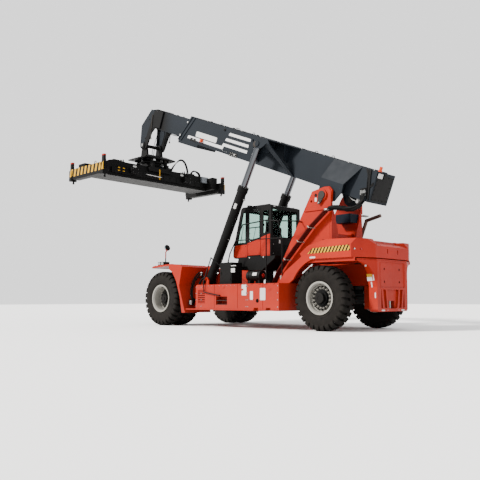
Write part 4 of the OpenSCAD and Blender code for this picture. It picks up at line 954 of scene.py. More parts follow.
for side in SIDES:
    marks.plate(rounded(side*0.52, 0.595, 0.16, 0.035, 0.006), "x", REAR_X,
                REAR_X - 0.003)
    lamps.plate(rounded(side*0.30, 0.598, 0.10, 0.035, 0.008), "x", REAR_X,
                REAR_X - 0.006)
marks.done("rear_plates", "chassis", plate_white)
lamps.done("rear_reflectors", "chassis", lens_red, 0.001)
stickers, whites = Maker(), Maker()
for side in SIDES:
    for maker, x0, x1, z0, z1, lean in (
            (stickers, -1.300, -1.130, 1.525, 1.610, 0.214),
            (whites, -1.300, -1.130, 1.415, 1.520, 0.214),
            (whites, -1.362, -1.328, 1.425, 1.585, 0.214),
            (whites, -1.272, -1.238, 1.240, 1.385, 0.214),
            (whites, -1.377, -1.343, 0.940, 1.090, 0.020)):
        base = 0.8232 + 0.214*(z0 - 1.31) if lean > 0.1 else 0.8052
        top = base + lean*(z1 - z0)
        maker.rings([[(x, side*(base + out), z0), (x, side*(top + out),
                      z1), (x, side*(top - 0.004), z1),
                      (x, side*(base - 0.004), z0)]
                     for x, out in ((x0, 0.003), (x1, 0.003))])
stickers.done("side_stickers", "chassis", label_yellow)
whites.done("side_plates", "chassis", plate_white)
print("rear end dressed")

# %% [markdown]
# ## Towers and pipes
# Each tower carries the pivot pin with its drop-shaped keeper, held by two
# bolts. The white clamps hold four painted pipes, and hose ends are screwed
# on top of them: a hexagon nut, a crimped sleeve and then the rubber.

# %% Tower details
TOWER_FACE_Y = 0.8262
for side, word in SIDES.items():
    bolts = Maker()
    bolts.bolt((0.558, side*0.911, 3.800), (0, side, 0), 0.020)
    for k in (0.08, 0.58, 0.97):
        for w in (0.018, 0.279):
            bolts.bolt((1.850 - 1.070*k + 0.028, side*(0.8004 + w),
                        2.060 + 1.050*k + 0.0285), (0.70, 0, 0.714), 0.010)
    bolts.done("tower_bolts_" + word, "chassis", zinc)
    hole = Maker()
    hole.turned([(0.052, 0), (0.052, 0.003), (0.040, 0.003),
                 (0.034, 0.001), (0.001, 0.001)],
                (0.723, side*TOWER_FACE_Y, 4.058), (0, side, 0), 28)
    hole.done("tower_hole_" + word, "chassis", black_paint)
    mark = Maker()
    mark.plate(rounded(0.724, 3.925, 0.075, 0.115, 0.010), "y",
               side*TOWER_FACE_Y, side*0.829)
    mark.done("tower_mark_" + word, "chassis", plate_white)
    # weld seams: fine rippled beads where the plates meet
    welds = Maker()
    for path in ([(0.22, side*0.7999, 2.72), (0.22, side*0.7999, 3.58)],
                 [(1.02, side*0.8255, 3.93), (1.175, side*0.8255, 3.60)],
                 [(0.155, side*0.827, 3.598), (1.17, side*0.827, 3.598)]):
        a, b = Vector(path[0]), Vector(path[1])
        count = int((b - a).length/0.012)
        steep = abs((b - a).x) < abs((b - a).z)
        welds.rings([[tuple(a + (b - a)*(i/count)
            + (0.005 + 0.0015*(i % 2))*Vector((
                math.cos(t) if steep else 0, math.sin(t),
                0 if steep else math.cos(t)))) for t in around(6)]
            for i in range(count + 1)])
    welds.done("tower_welds_" + word, "chassis", red_paint)
    ends = Maker()
    for i in range(4):
        y = side*(0.876 + 0.062*i)
        ends.turned([(0.031, 0), (0.031, 0.030)], (0.205, y, 3.545),
                    (-1, 0, 0.02), 6)
        ends.turned([(0.026, 0.026), (0.026, 0.085), (0.0245, 0.088),
                     (0.0245, 0.095), (0.026, 0.098), (0.026, 0.11)],
                    (0.205, y, 3.545), (-1, 0, 0.02), 16)
    ends.done("pipe_ends_" + word, "chassis", zinc)
print("towers dressed")

# %% [markdown]
# ## The boom
# Paint strips on a boom are thin, but they still have an edge, so they are
# plates a few millimetres thick and not a drawing on the surface. They are
# laid out in the boom's own measures: U runs up the boom from the pivot and V
# stands square to it. The long plate between the strips stays blank.

# %% Strips, blank plates and the cover of the screws
stripe_white = finish("stripe_white", (0.46, 0.46, 0.46), 0.4, drift=0.05,
                      dust=0.0)
BOOM_Y = 0.480
STRIPS = [[(7.49, 0.430), (5.46, 0.430), (5.405, 0.548), (4.08, 0.548),
           (4.08, 0.448), (5.335, 0.448), (5.385, 0.322), (7.53, 0.322)],
          [(5.315, 0.752), (4.09, 0.752), (4.09, 0.655), (5.345, 0.655)],
          [(5.20, 0.968), (4.06, 0.968), (4.06, 0.870), (5.235, 0.870)]]
for side, word in SIDES.items():
    strips = Maker(on_boom)
    for outline in STRIPS:
        strips.plate(outline, "y", side*BOOM_Y, side*(BOOM_Y + 0.002))
    strips.done("boom_strips_" + word, "boom", stripe_white)
    blank = Maker(on_boom)
    blank.plate(rounded(6.435, 0.566, 1.25, 0.200, 0.045, 6), "y",
                side*BOOM_Y, side*(BOOM_Y + 0.004))
    blank.done("boom_blank_plate_" + word, "boom", plate_white, 0.001)
    cover = Maker(on_boom)
    cover.plate(rounded(5.250, 0.280, 0.330, 0.092, 0.012), "y",
                side*(BOOM_Y - 0.013), side*(BOOM_Y + 0.001))
    cover.plate([(4.00, 1.115), (7.20, 1.115), (7.20, 1.128),
                 (4.00, 1.128)], "y", side*BOOM_Y, side*(BOOM_Y + 0.003))
    cover.done("boom_cover_" + word, "boom", boom_paint, 0.001)
    pads = Maker(on_boom)
    pads.plate(rounded(4.74, 0.256, 0.43, 0.150, 0.020), "y",
               side*BOOM_Y, side*(BOOM_Y + 0.010))
    pads.turned([(0.052, 0), (0.052, 0.020), (0.040, 0.026),
                 (0.018, 0.026), (0.016, 0.010)],
                (5.507, side*BOOM_Y, 1.025), (0, side, 0), 28)
    for u in (7.05, 7.25):
        pads.plate(rounded(u, 0.315, 0.16, 0.12, 0.010), "y", side*BOOM_Y,
                   side*(BOOM_Y + 0.012))
    pads.done("boom_pads_" + word, "boom", black_paint, 0.002)
    screws = Maker(on_boom)
    for u in lined(4, 4.59, 4.89):
        for v in (0.215, 0.297):
            screws.bolt((u, side*(BOOM_Y + 0.010), v), (0, side, 0), 0.013)
    for u in lined(3, 5.14, 5.36):
        screws.bolt((u, side*(BOOM_Y + 0.001), 0.280), (0, side, 0), 0.010)
    for u in (6.99, 7.11, 7.19, 7.31):
        screws.bolt((u, side*(BOOM_Y + 0.012), 0.315), (0, side, 0), 0.011)
    screws.turned([(0.030, 0), (0.030, 0.016), (0.020, 0.022),
                   (0.001, 0.022)], (4.66, side*(BOOM_Y + 0.010), 0.256),
                  (0, side, 0), 20)
    screws.done("boom_screws_" + word, "boom", zinc)

# %% [markdown]
# The box is welded along its four edges. A weld bead is a row of flat scales,
# so the ring radius goes up and down a little from one step to the next.
# Every bead of one side is one piece.

# %% Weld beads
def bead(maker, first, last, radius=0.006, pitch=0.020):
    """A rippled bead from first to last, in the maker's measures."""
    first, last = Vector(first), Vector(last)
    along = (last - first).normalized()
    side = along.orthogonal().normalized()
    up = along.cross(side)
    count = max(int((last - first).length/pitch), 2)
    rings = []
    for i in range(count + 1):
        r = radius*(1.0 + 0.22*(i % 2))
        rings.append([tuple(first + (last - first)*(i/count)
            + r*(math.cos(t)*side + math.sin(t)*up))
            for t in around(6)])
    return maker.rings(rings)


for side, word in SIDES.items():
    seams = Maker(on_boom)
    y = side*BOOM_Y
    for first, last in (((0.40, y, 0.204), (7.00, y, 0.204)),
                        ((-1.40, y, 0.204), (-0.56, y, 0.204)),
                        ((4.0, y, 1.131), (7.18, y, 1.131)),
                        ((-1.40, y, 1.131), (-0.90, y, 1.131)),
                        ((-0.86, y, 1.128), (-0.53, side*0.699, 0.482)),
                        ((0.25, y, 1.128), (0.372, side*0.699, 0.456))):
        bead(seams, first, last)
    for u in (6.70, 6.88):
        bead(seams, (u, y, 0.22), (u, y, 0.30), 0.004)
    seams.done("boom_seams_" + word, "boom", boom_paint)
print("boom sides dressed")

# %% [markdown]
# ## Tail of the boom
# The tail has a bolted cover plate on its end, a blank white plate and a
# small junction box. Three pipes run along the top of the box to the nose,
# held by clamps, and lifting eyes stand beside them.

# %% Tail plate, junction box and pipes on top
TAIL_U = -1.420
tail = Maker(on_boom)
tail.plate(rounded(0, 0.66, 0.80, 0.78, 0.03), "x", TAIL_U, TAIL_U - 0.008)
tail.done("tail_cover", "boom", black_paint, 0.002)
tail = Maker(on_boom)
for y in lined(5, -0.36, 0.36):
    for v in (0.31, 1.01):
        tail.bolt((TAIL_U - 0.008, y, v), (-1, 0, 0), 0.012)
for v in lined(4, 0.45, 0.87):
    for y in (-0.36, 0.36):
        tail.bolt((TAIL_U - 0.008, y, v), (-1, 0, 0), 0.012)
tail.done("tail_bolts", "boom", black_paint)
duct = Maker(on_boom)
for side in SIDES:
    duct.plate([(-1.010, 1.125), (-1.220, 1.125), (-1.245, 0.960),
                (-1.275, 0.860), (-1.410, 0.275), (-1.320, 0.250),
                (-1.160, 0.860), (-1.130, 0.960)], "y",
               side*BOOM_Y, side*(BOOM_Y + 0.030))
duct.done("tail_ducts", "boom", black_paint, 0.006)
tail = Maker(on_boom)
tail.plate(rounded(0.300, 1.015, 0.250, 0.140, 0.008), "x", TAIL_U - 0.0195,
           TAIL_U - 0.0235)
tail.done("tail_blank_plate", "boom", plate_white)
tail = Maker(on_boom)
tail.plate(rounded(0.300, 1.015, 0.262, 0.152, 0.010), "x", TAIL_U - 0.008,
           TAIL_U - 0.0195)
tail.plate(rounded(0.110, 1.020, 0.110, 0.170, 0.012), "x", TAIL_U - 0.008,
           TAIL_U - 0.060)
for v in (0.96, 1.08):
    tail.turned([(0.006, 0), (0.006, 0.004), (0.002, 0.006)],
                (TAIL_U - 0.060, 0.110, v), (-1, 0, 0), 10)
tail.done("tail_box", "boom", black_paint, 0.002)
top = Maker(on_boom)
for y in (-0.09, -0.03, 0.03):
    top.tube([(TAIL_U + 0.10, y, 1.150), (7.30, y, 1.150)], 0.012, 10)
    top.turned([(0.020, 0), (0.020, 0.05)], (TAIL_U + 0.10, y, 1.150),
               (-1, 0, 0), 6)
top.done("top_pipes", "boom", boom_paint)
clamps = Maker(on_boom)
for u in lined(9, -1.0, 7.1):
    clamps.block(u - 0.02, u + 0.02, -0.125, 0.065, 1.1352, 1.168)
    for y in (-0.113, 0.053):
        clamps.bolt((u, y, 1.168), (0, 0, 1), 0.008)
clamps.done("top_clamps", "boom", zinc, 0.001)
eyes = Maker(on_boom)
for side in SIDES:
    for u in (1.05, 5.80, 4.95):
        eyes.tube(smooth_path([(u - 0.06, side*0.43, 1.136),
            (u - 0.05, side*0.43, 1.185), (u, side*0.43, 1.203),
            (u + 0.05, side*0.43, 1.185), (u + 0.06, side*0.43, 1.136)], 4),
            0.011, 10)
        eyes.block(u - 0.085, u + 0.085, side*0.405, side*0.455, 1.1352,
                   1.147)
eyes.done("lifting_eyes", "boom", black_paint, 0.001)
print("tail dressed")

# %% [markdown]
# ## Hoses over the pivot
# Four hoses cross from the pipes of the tower to the tail of the boom, each
# along a smooth curve. A woven sleeve holds them together.

# %% Hoses and their sleeve
HOSE_COUNT = 4


def hose_path(i):
    """Points of hose number i, from the tower to the tail."""
    return [(0.178, 0.876 + 0.062*i, 3.560),
            (0.040, 0.830 + 0.056*i, 3.600),
            (-0.140, 0.740 + 0.050*i, 3.575),
            (-0.360, 0.620 + 0.045*i, 3.560),
            (-0.600, 0.556 + 0.040*i, 3.600),
            (-0.680 - 0.042*i, 0.530 + 0.030*i, 3.730),
            (-0.700 - 0.050*i, 0.514 + 0.012*i, 3.870),
            (-0.700 - 0.050*i, 0.501, 4.010)]


for i in range(HOSE_COUNT):
    hose = Maker()
    path = smooth_path(hose_path(i), 10)
    hose.tube(path, 0.0188, 16)
    piece = hose.done("boom_hose_%d" % i, None, hose_rubber)
    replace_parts(piece, "boom_hoses")
    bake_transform(piece)
ends = Maker()
for i in range(HOSE_COUNT):
    x, y = -0.700 - 0.050*i, 0.501
    ends.turned([(0.0235, -0.10), (0.0235, -0.035), (0.021, -0.032),
                 (0.021, -0.020), (0.0235, -0.017), (0.0235, 0)],
                (x, y + 0.0005, 4.005), (0, 0, 1), 16)
    ends.turned([(0.027, 0), (0.027, 0.030)], (x, y + 0.0005, 4.005),
                (0, 0, 1), 6)
    ends.turned([(0.017, 0.03), (0.017, 0.08), (0.001, 0.082)],
                (x, y + 0.0005, 4.005), (0, 0, 1), 12)
ends.done("boom_hose_ends", "boom", zinc)
risers = Maker(as_is)
for i in range(HOSE_COUNT):
    x = -0.700 - 0.050*i
    risers.tube(smooth_path([tuple(p) for p in (at(x, 0.5015, 4.080),
        at(x - 0.02, 0.502, 4.125), on_boom(-1.27 - 0.02*i, 0.494,
        0.590 + 0.02*i), on_boom(-1.36, 0.490, 0.660 + 0.025*i),
        on_boom(-1.408, 0.478, 0.700 + 0.03*i))], 7), 0.0125, 10)
risers.done("tail_hoses", "boom", hose_rubber)
sleeve = Maker()
sleeve_path = smooth_path([(0.150, 0.930, 3.572), (0.030, 0.895, 3.600),
    (-0.100, 0.800, 3.600), (-0.280, 0.680, 3.562), (-0.480, 0.618, 3.552),
    (-0.650, 0.585, 3.600), (-0.735, 0.560, 3.690)], 12)
sleeve.tube(sleeve_path, 0.074, 20)
for vert in sleeve.bm.verts:
    w = math.sin(31*vert.co.x + 9*vert.co.z) + math.sin(57*vert.co.y)
    vert.co.z += 0.006*w
sleeve = sleeve.done("hose_sleeve", None, hose_rubber)
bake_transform(sleeve)
valve = Maker(on_boom)
valve.block(-1.055, -0.945, 0.400, 0.412, 0.060, 0.206)
valve.turned([(0.052, 0), (0.056, 0.012), (0.056, 0.030), (0.045, 0.036),
              (0.041, 0.030), (0.001, 0.030)], (-1.000, 0.412, 0.112),
             (0, 1, 0), 28)
valve.tube(smooth_path([(-0.95, 0.425, 0.112), (-0.80, 0.425, 0.130),
    (-0.66, 0.425, 0.190)], 6), 0.012, 10)
valve.done("boom_valve", "boom", zinc)
print("hoses over the pivot:", HOSE_COUNT)

# %% [markdown]
# ## The seat
# Foam under cloth is never a box: it bulges between its seams. Each cushion
# starts as a rounded closed form, a little too small. A voxel remesh gives it
# an even skin, a short cloth run with air pressure puffs it up, and a cap on
# the way that any point may go keeps it inside its space. The sewn channels
# are pressed in afterwards, because the remesh would wipe them out.

# %% Stuffed cushions
from mathutils.bvhtree import BVHTree


CAB_X, CAB_Z = 2.680, 2.300


def cab(x, y, z):
    """A point measured from the rear lower edge of the cab."""
    return at(CAB_X + x, y, CAB_Z + z)


def pillow(name, centre, half, lean=0.0, cap=0.010, power=5.0):
    """A cushion round a centre: half sizes, lean back in degrees."""
    turn = Matrix.Rotation(math.radians(lean), 3, "Y")
    rings, count = [], 9
    for i in range(count):
        t = -1 + 2*i/(count - 1)
        shrink = (1 - abs(t)**power*0.35)
        ring = []
        for a in around(40):
            c, s = math.cos(a), math.sin(a)
            r = (abs(c)**power + abs(s)**power)**(-1/power)
            ring.append(tuple(Vector(centre) + turn @ Vector((
                half[0]*r*c*shrink, half[1]*r*s*shrink, half[2]*t))))
        rings.append(ring)
    piece = Maker(cab).rings(rings).done(name, None, seat_cloth)
    skin = piece.modifiers.new("skin", "REMESH")
    skin.mode, skin.voxel_size = "VOXEL", 0.012
    piece = settle(piece)
    start = [v.co.copy() for v in piece.data.vertices]
    puff = piece.modifiers.new("puff", "CLOTH")
    puff.settings.use_pressure = True
    puff.settings.uniform_pressure_force = 4
    puff.settings.effector_weights.gravity = 0
    for frame_number in range(1, 13):
        scene.frame_set(frame_number)
    piece = settle(piece)
    scene.frame_set(1)
    for vertex, origin in zip(piece.data.vertices, start):
        way = vertex.co - origin
        if way.length > cap:
            vertex.co = origin + way*(cap/way.length)
    finer = piece.modifiers.new("finer", "SUBSURF")
    finer.levels = finer.render_levels = 1
    return settle(piece), turn


def settle(piece):
    """Writes what the modifiers made into the mesh itself."""
    graph = bpy.context.evaluated_depsgraph_get()
    mesh = bpy.data.meshes.new_from_object(piece.evaluated_get(graph))
    piece.modifiers.clear()
    old = piece.data
    piece.data = mesh
    bpy.data.meshes.remove(old)
    for face in mesh.polygons:
        face.use_smooth = True
    return piece


def sew(piece, centre, turn, lines, depth=0.007, width=0.009):
    """Presses channels along lines: (axis 0 or 1, place) pairs."""
    middle, back = Vector(cab(*centre)), turn.inverted()
    mesh = piece.data
    for vertex in mesh.vertices:
        local = back @ (vertex.co - middle)
        if local.z < 0:
            continue
        sink = sum(math.exp(-((local[axis] - place)/width)**2)
                   for axis, place in lines)
        vertex.co -= vertex.normal*depth*min(sink, 1.0)
    mesh.update()


def piping(piece, name, centre, turn, half, level, radius=0.004):
    """A cord sewn round the edge, laid on the cushion's own skin."""
    tree = BVHTree.FromPolygons([v.co for v in piece.data.vertices],
        [tuple(f.vertices) for f in piece.data.polygons])
    loop = []
    for k in range(97):
        a = 2*math.pi*k/96
        c, s = math.cos(a), math.sin(a)
        r = (abs(c)**5 + abs(s)**5)**-0.2
        point = Vector(cab(*centre)) + turn @ Vector((half[0]*r*c,
            half[1]*r*s, level))
        loop.append(tree.find_nearest(point)[0])
    cord = Maker(as_is)
    cord.tube(loop, radius, 8)
    cord = cord.done(name, "chassis", black_paint)
    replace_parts(cord, "cab_seat")


CUSHION, BACK = (0.730, 0, 0.390), (0.443, 0, 0.760)
seat_parts = []
for name, centre, half, lean, lines in (
        ("seat_cushion", CUSHION, (0.242, 0.252, 0.054), 0,
         [(1, -0.125), (1, 0.125), (0, -0.06), (0, 0.07)]),
        ("seat_back", BACK, (0.305, 0.242, 0.050), 80.5,
         [(1, -0.120), (1, 0.120), (0, -0.10), (0, 0.05)])):
    piece, turn = pillow(name, centre, half, lean)
    sew(piece, centre, turn, lines)
    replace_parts(piece, "cab_seat")
    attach(piece, "chassis")
    piping(piece, name + "_piping", centre, turn, half, half[2]*0.75)
    seat_parts.append(piece)
print("cushions:", [len(p.data.polygons) for p in seat_parts])

# %% [markdown]
# Under the cushion sits a bellows over the spring, and a joystick stands on
# each arm rest. The column leans to the driver and ends
# in a wheel with a thick rim, three spokes and a boss.

# %% Seat frame, controls and wheel
low = Maker(cab)
low.block(0.560, 0.900, -0.150, 0.150, 0.0505, 0.080)
folds = []
for i, z in enumerate(lined(13, 0.080, 0.300)):
    grow = 0.148 if i % 2 else 0.132
    folds.append([(0.730 + sx*grow*1.12, sy*grow, z) for sx, sy in
                  ((1, 1), (-1, 1), (-1, -1), (1, -1))])
low.rings(folds)
low.block(0.520, 0.940, -0.200, 0.200, 0.300, 0.332)
for side in SIDES:
    low.block(0.600, 0.700, side*0.250, side*0.300, 0.400, 0.450)
    low.plate(rounded(0.710, 0.500, 0.380, 0.080, 0.030), "y", side*0.292,
              side*0.368)
    low.plate(rounded(0.710, 0.570, 0.370, 0.036, 0.016), "y", side*0.294,
              side*0.366)
low.block(1.350, 1.590, -0.300, 0.300, 0.0505, 0.240)
low.plate([(1.350, 0.240), (1.590, 0.240), (1.590, 0.300), (1.44, 0.300)],
          "y", -0.300, 0.300)
low = low.done("seat_frame", "chassis", black_paint, 0.006)
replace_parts(low, "cab_seat")
wheel = Maker(cab)
lean = Vector((-math.sin(math.radians(35)), 0, math.cos(math.radians(35))))
foot, hub = Vector((1.350, 0, 0.290)), Vector((1.350, 0, 0.290)) + lean*0.32
wheel.turned([(0.040, -0.02), (0.040, 0.10), (0.030, 0.11), (0.030, 0.30),
              (0.045, 0.315), (0.045, 0.335), (0.030, 0.345)], foot, lean,
             24)
across = Vector((0, 1, 0))
up = lean.cross(across)
wheel.tube([hub + lean*0.013 + 0.175*(math.cos(t)*across
            + math.sin(t)*up) for t in (2*math.pi*k/48
            for k in range(49))], 0.0135, 12)
for t in (0, math.pi, 1.5*math.pi):
    out = math.cos(t)*across + math.sin(t)*up
    wheel.tube([hub + lean*0.008, hub + lean*0.008 + out*0.09,
                hub + lean*0.013 + out*0.172], 0.010, 8)
wheel = wheel.done("steering_wheel", "chassis", black_paint)
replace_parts(wheel, "cab_seat")
inside = Maker(cab)
inside.plate(rounded(0, 0.49, 0.26, 0.17, 0.015), "x", 1.490, 1.515)
inside.tube([(1.50, 0, 0.29), (1.50, 0, 0.42)], 0.014)
for side in SIDES:
    inside.tube(smooth_path([(0.80, side*0.33, 0.58),
        (0.80, side*0.33, 0.64), (0.82, side*0.33, 0.70)], 5), 0.010)
    inside.turned([(0.012, 0), (0.022, 0.02), (0.024, 0.07), (0.016, 0.10),
                   (0.001, 0.105)], (0.822, side*0.33, 0.695),
                  (0.15, 0, 1), 16)
for y in (-0.20, -0.08):
    inside.plate([(1.30, 0.055), (1.345, 0.19), (1.352, 0.188),
                  (1.31, 0.052)], "y", y - 0.035, y + 0.035)
inside.block(0.40, 1.60, -0.60, 0.60, 0.0502, 0.058)
inside.tube(smooth_path([(1.60, -0.55, 1.42), (1.55, -0.50, 1.36),
                         (1.50, -0.48, 1.30)], 4), 0.007)
inside.plate(rounded(-0.46, 1.26, 0.16, 0.09, 0.02), "x", 1.495, 1.510)
inside.done("cab_controls", "chassis", black_paint, 0.003)
screen = Maker(cab)
screen.plate(rounded(0, 0.49, 0.225, 0.135, 0.008), "x", 1.4885, 1.4905)
screen.done("display_glass", "chassis", finish("display",
            (0.03, 0.045, 0.06), 0.15, coat=0.7, dust=0.0))
print("cab inside dressed")

# %% [markdown]
# ## Outside of the cab
# Rubber seals run round the side and rear panes. They are drawn from the
# same corner points as the panes, a tube along a closed line. The door gets
# its own seal, so that it turns with the door, and wide black gaskets part
# the painted panels.

# %% Seals, gaskets, bar, handle and wipers
PANES = {
    "front_side": [(1.172, 0.502), (1.578, 0.502), (1.308, 1.528),
                   (1.172, 1.528)],
    "rear_side": [(0.092, 0.792), (0.368, 0.772), (0.368, 1.528),
                  (0.092, 1.528)],
    "door": [(0.517, 0.642), (1.023, 0.563), (1.023, 1.528),
             (0.517, 1.528)],
    "right": [(0.522, 0.562), (1.018, 0.502), (1.018, 1.528),
              (0.522, 1.528)]}


def seal(maker, corners, y):
    """A rubber lip along the edge of a side pane."""
    for (x0, z0), (x1, z1) in zip(corners, corners[1:] + corners[:1]):
        maker.tube([(x0, y, z0), (x1, y, z1)], 0.010, 8)
    return maker


seals = Maker(cab)
for side in SIDES:
    seal(seals, PANES["front_side"], side*0.729)
    seal(seals, PANES["rear_side"], side*0.729)
seal(seals, PANES["right"], -0.729)
for (y0, z0), (y1, z1) in zip([(-0.58, 0.652), (0.64, 0.652),
        (0.64, 1.568), (-0.58, 1.568)], [(0.64, 0.652), (0.64, 1.568),
        (-0.58, 1.568), (-0.58, 0.652)]):
    seals.tube([(0.002, y0, z0), (0.002, y1, z1)], 0.010, 8)
seals.done("cab_seals", "chassis", hose_rubber)
seal(Maker(cab), PANES["door"], 0.7285).done("door_seal", "door",
                                             hose_rubber)
gasket = Maker(cab)
for x, top in ((1.100, 0.470), (0.437, 0.655)):
    gasket.block(x - 0.014, x + 0.014, 0.7301, 0.7350, 0.022, top)
gasket.block(0.040, 0.186, 0.7301, 0.7400, 0.735, 0.748)
gasket.done("cab_gaskets", "chassis", hose_rubber, 0.002)
bar = Maker(cab)
bar.block(0.512, 1.028, 0.722, 0.7315, 0.975, 1.010)
bar.tube(smooth_path([(0.950, 0.740, 0.62), (0.950, 0.775, 0.64),
    (0.950, 0.775, 0.78), (0.950, 0.740, 0.80)], 5), 0.010)
bar.plate(rounded(0.955, 0.535, 0.10, 0.05, 0.012), "y", 0.7385, 0.744)
bar.done("door_bar_and_handle", "door", black_paint, 0.001)
lock = Maker(cab)
lock.turned([(0.016, 0), (0.016, 0.004), (0.012, 0.006), (0.001, 0.006)],
            (0.925, 0.744, 0.535), (0, 1, 0), 18)
lock.done("door_lock", "door", zinc)
screws = Maker(cab)
for x, z in ((1.16, 0.06), (1.66, 0.06), (1.16, 0.38), (1.64, 0.38),
             (0.08, 0.06), (0.40, 0.06), (0.08, 0.66), (0.40, 0.58)):
    for side in SIDES:
        screws.bolt((x, side*0.739, z), (0, side, 0), 0.009)
for x, z in ((0.51, 0.11), (1.03, 0.11), (0.51, 0.54), (1.03, 0.44)):
    screws.bolt((x, -0.739, z), (0, -1, 0), 0.009)
screws.done("panel_screws", "chassis", black_paint)
screws = Maker(cab)
for x, z in ((0.52, 0.12), (1.02, 0.12), (0.52, 0.53), (1.02, 0.44)):
    screws.bolt((x, 0.739, z), (0, 1, 0), 0.009)
screws.done("door_screws", "door", black_paint)

# %% Wipers, roof and rear of the cab
wipers = Maker(cab)
slope = Vector((1.390 - 1.705, 0, 1.57 - 0.421)).normalized()
for y in (-0.30, 0.30):
    base = Vector((1.728, y, 0.400))
    wipers.turned([(0.022, 0), (0.022, 0.03), (0.012, 0.036)], base,
                  (1, 0, 0.25), 16)
    wipers.tube([base + Vector((0.03, 0, 0)), base + Vector((0.022, 0, 0))
                 + slope*0.42 + Vector((0, 0.16, 0))], 0.007, 8)
    middle = base + Vector((0.016, 0, 0)) + slope*0.42 + Vector((0, 0.16,
                                                                0))
    wipers.tube([middle - slope*0.33, middle + slope*0.33], 0.008, 8)
wipers.done("wipers", "chassis", black_paint)
roof = Maker(cab)
for y in (-0.60, 0.60):
    roof.tube(smooth_path([(0.20, y, 1.728), (0.22, y, 1.745),
        (1.10, y, 1.745), (1.14, y, 1.722)], 6), 0.010, 10)
for side in SIDES:
    roof.plate(rounded(side*0.490, 1.765, 0.128, 0.070, 0.015), "x", 1.2705,
               1.280)
    for z in (1.745, 1.765, 1.785):
        roof.block(1.284, 1.287, side*0.430, side*0.550, z - 0.0015,
                   z + 0.0015)
roof.turned([(0.040, 0), (0.034, 0.012), (0.010, 0.020), (0.008, 0.045),
             (0.001, 0.047)], (0.25, -0.45, 1.722),
            (0, 0, 1), 16)
roof.done("roof_rails", "chassis", black_paint, 0.001)
lamps = Maker(cab)
for side in SIDES:
    lamps.plate(rounded(side*0.490, 1.765, 0.114, 0.058, 0.012), "x",
                1.280, 1.284)
lamps.done("roof_lamp_lenses", "chassis", lens_clear)
rear = Maker(cab)
rear.plate(rounded(0.308, 0.505, 0.070, 0.125, 0.006), "x", 0.0005, -0.003)
rear.plate(rounded(0.560, 1.662, 0.10, 0.030, 0.005), "x", 0.0005, -0.003)
rear.done("cab_rear_plates", "chassis", plate_white)
rear = Maker(cab)
for y, z in ((0.298, 0.642), (0.123, 0.696), (-0.45, 0.60), (0.62, 0.40),
             (-0.62, 0.40), (0.62, 0.10), (-0.62, 0.10)):
    rear.turned([(0.018, 0), (0.018, 0.006), (0.010, 0.010)],
                (0.0, y, z), (-1, 0, 0), 16)
rear.done("cab_rear_plugs", "chassis", zinc)
louvre = Maker(cab)
for z in lined(9, 0.14, 0.40):
    louvre.plate([(-0.001, z), (-0.014, z + 0.006), (-0.014, z + 0.012),
                  (-0.001, z + 0.016)], "y", -0.34, 0.10)
louvre.done("cab_rear_louvres", "chassis", black_paint)

# %% [markdown]
# ## Round the cab
# Beside the cab lie a box and an air tank. Blank labels, a red tank cap, two
# straps and drain fittings make them read as what they are. The rails stand
# on round flanges with bolts, as every bolted rail does.

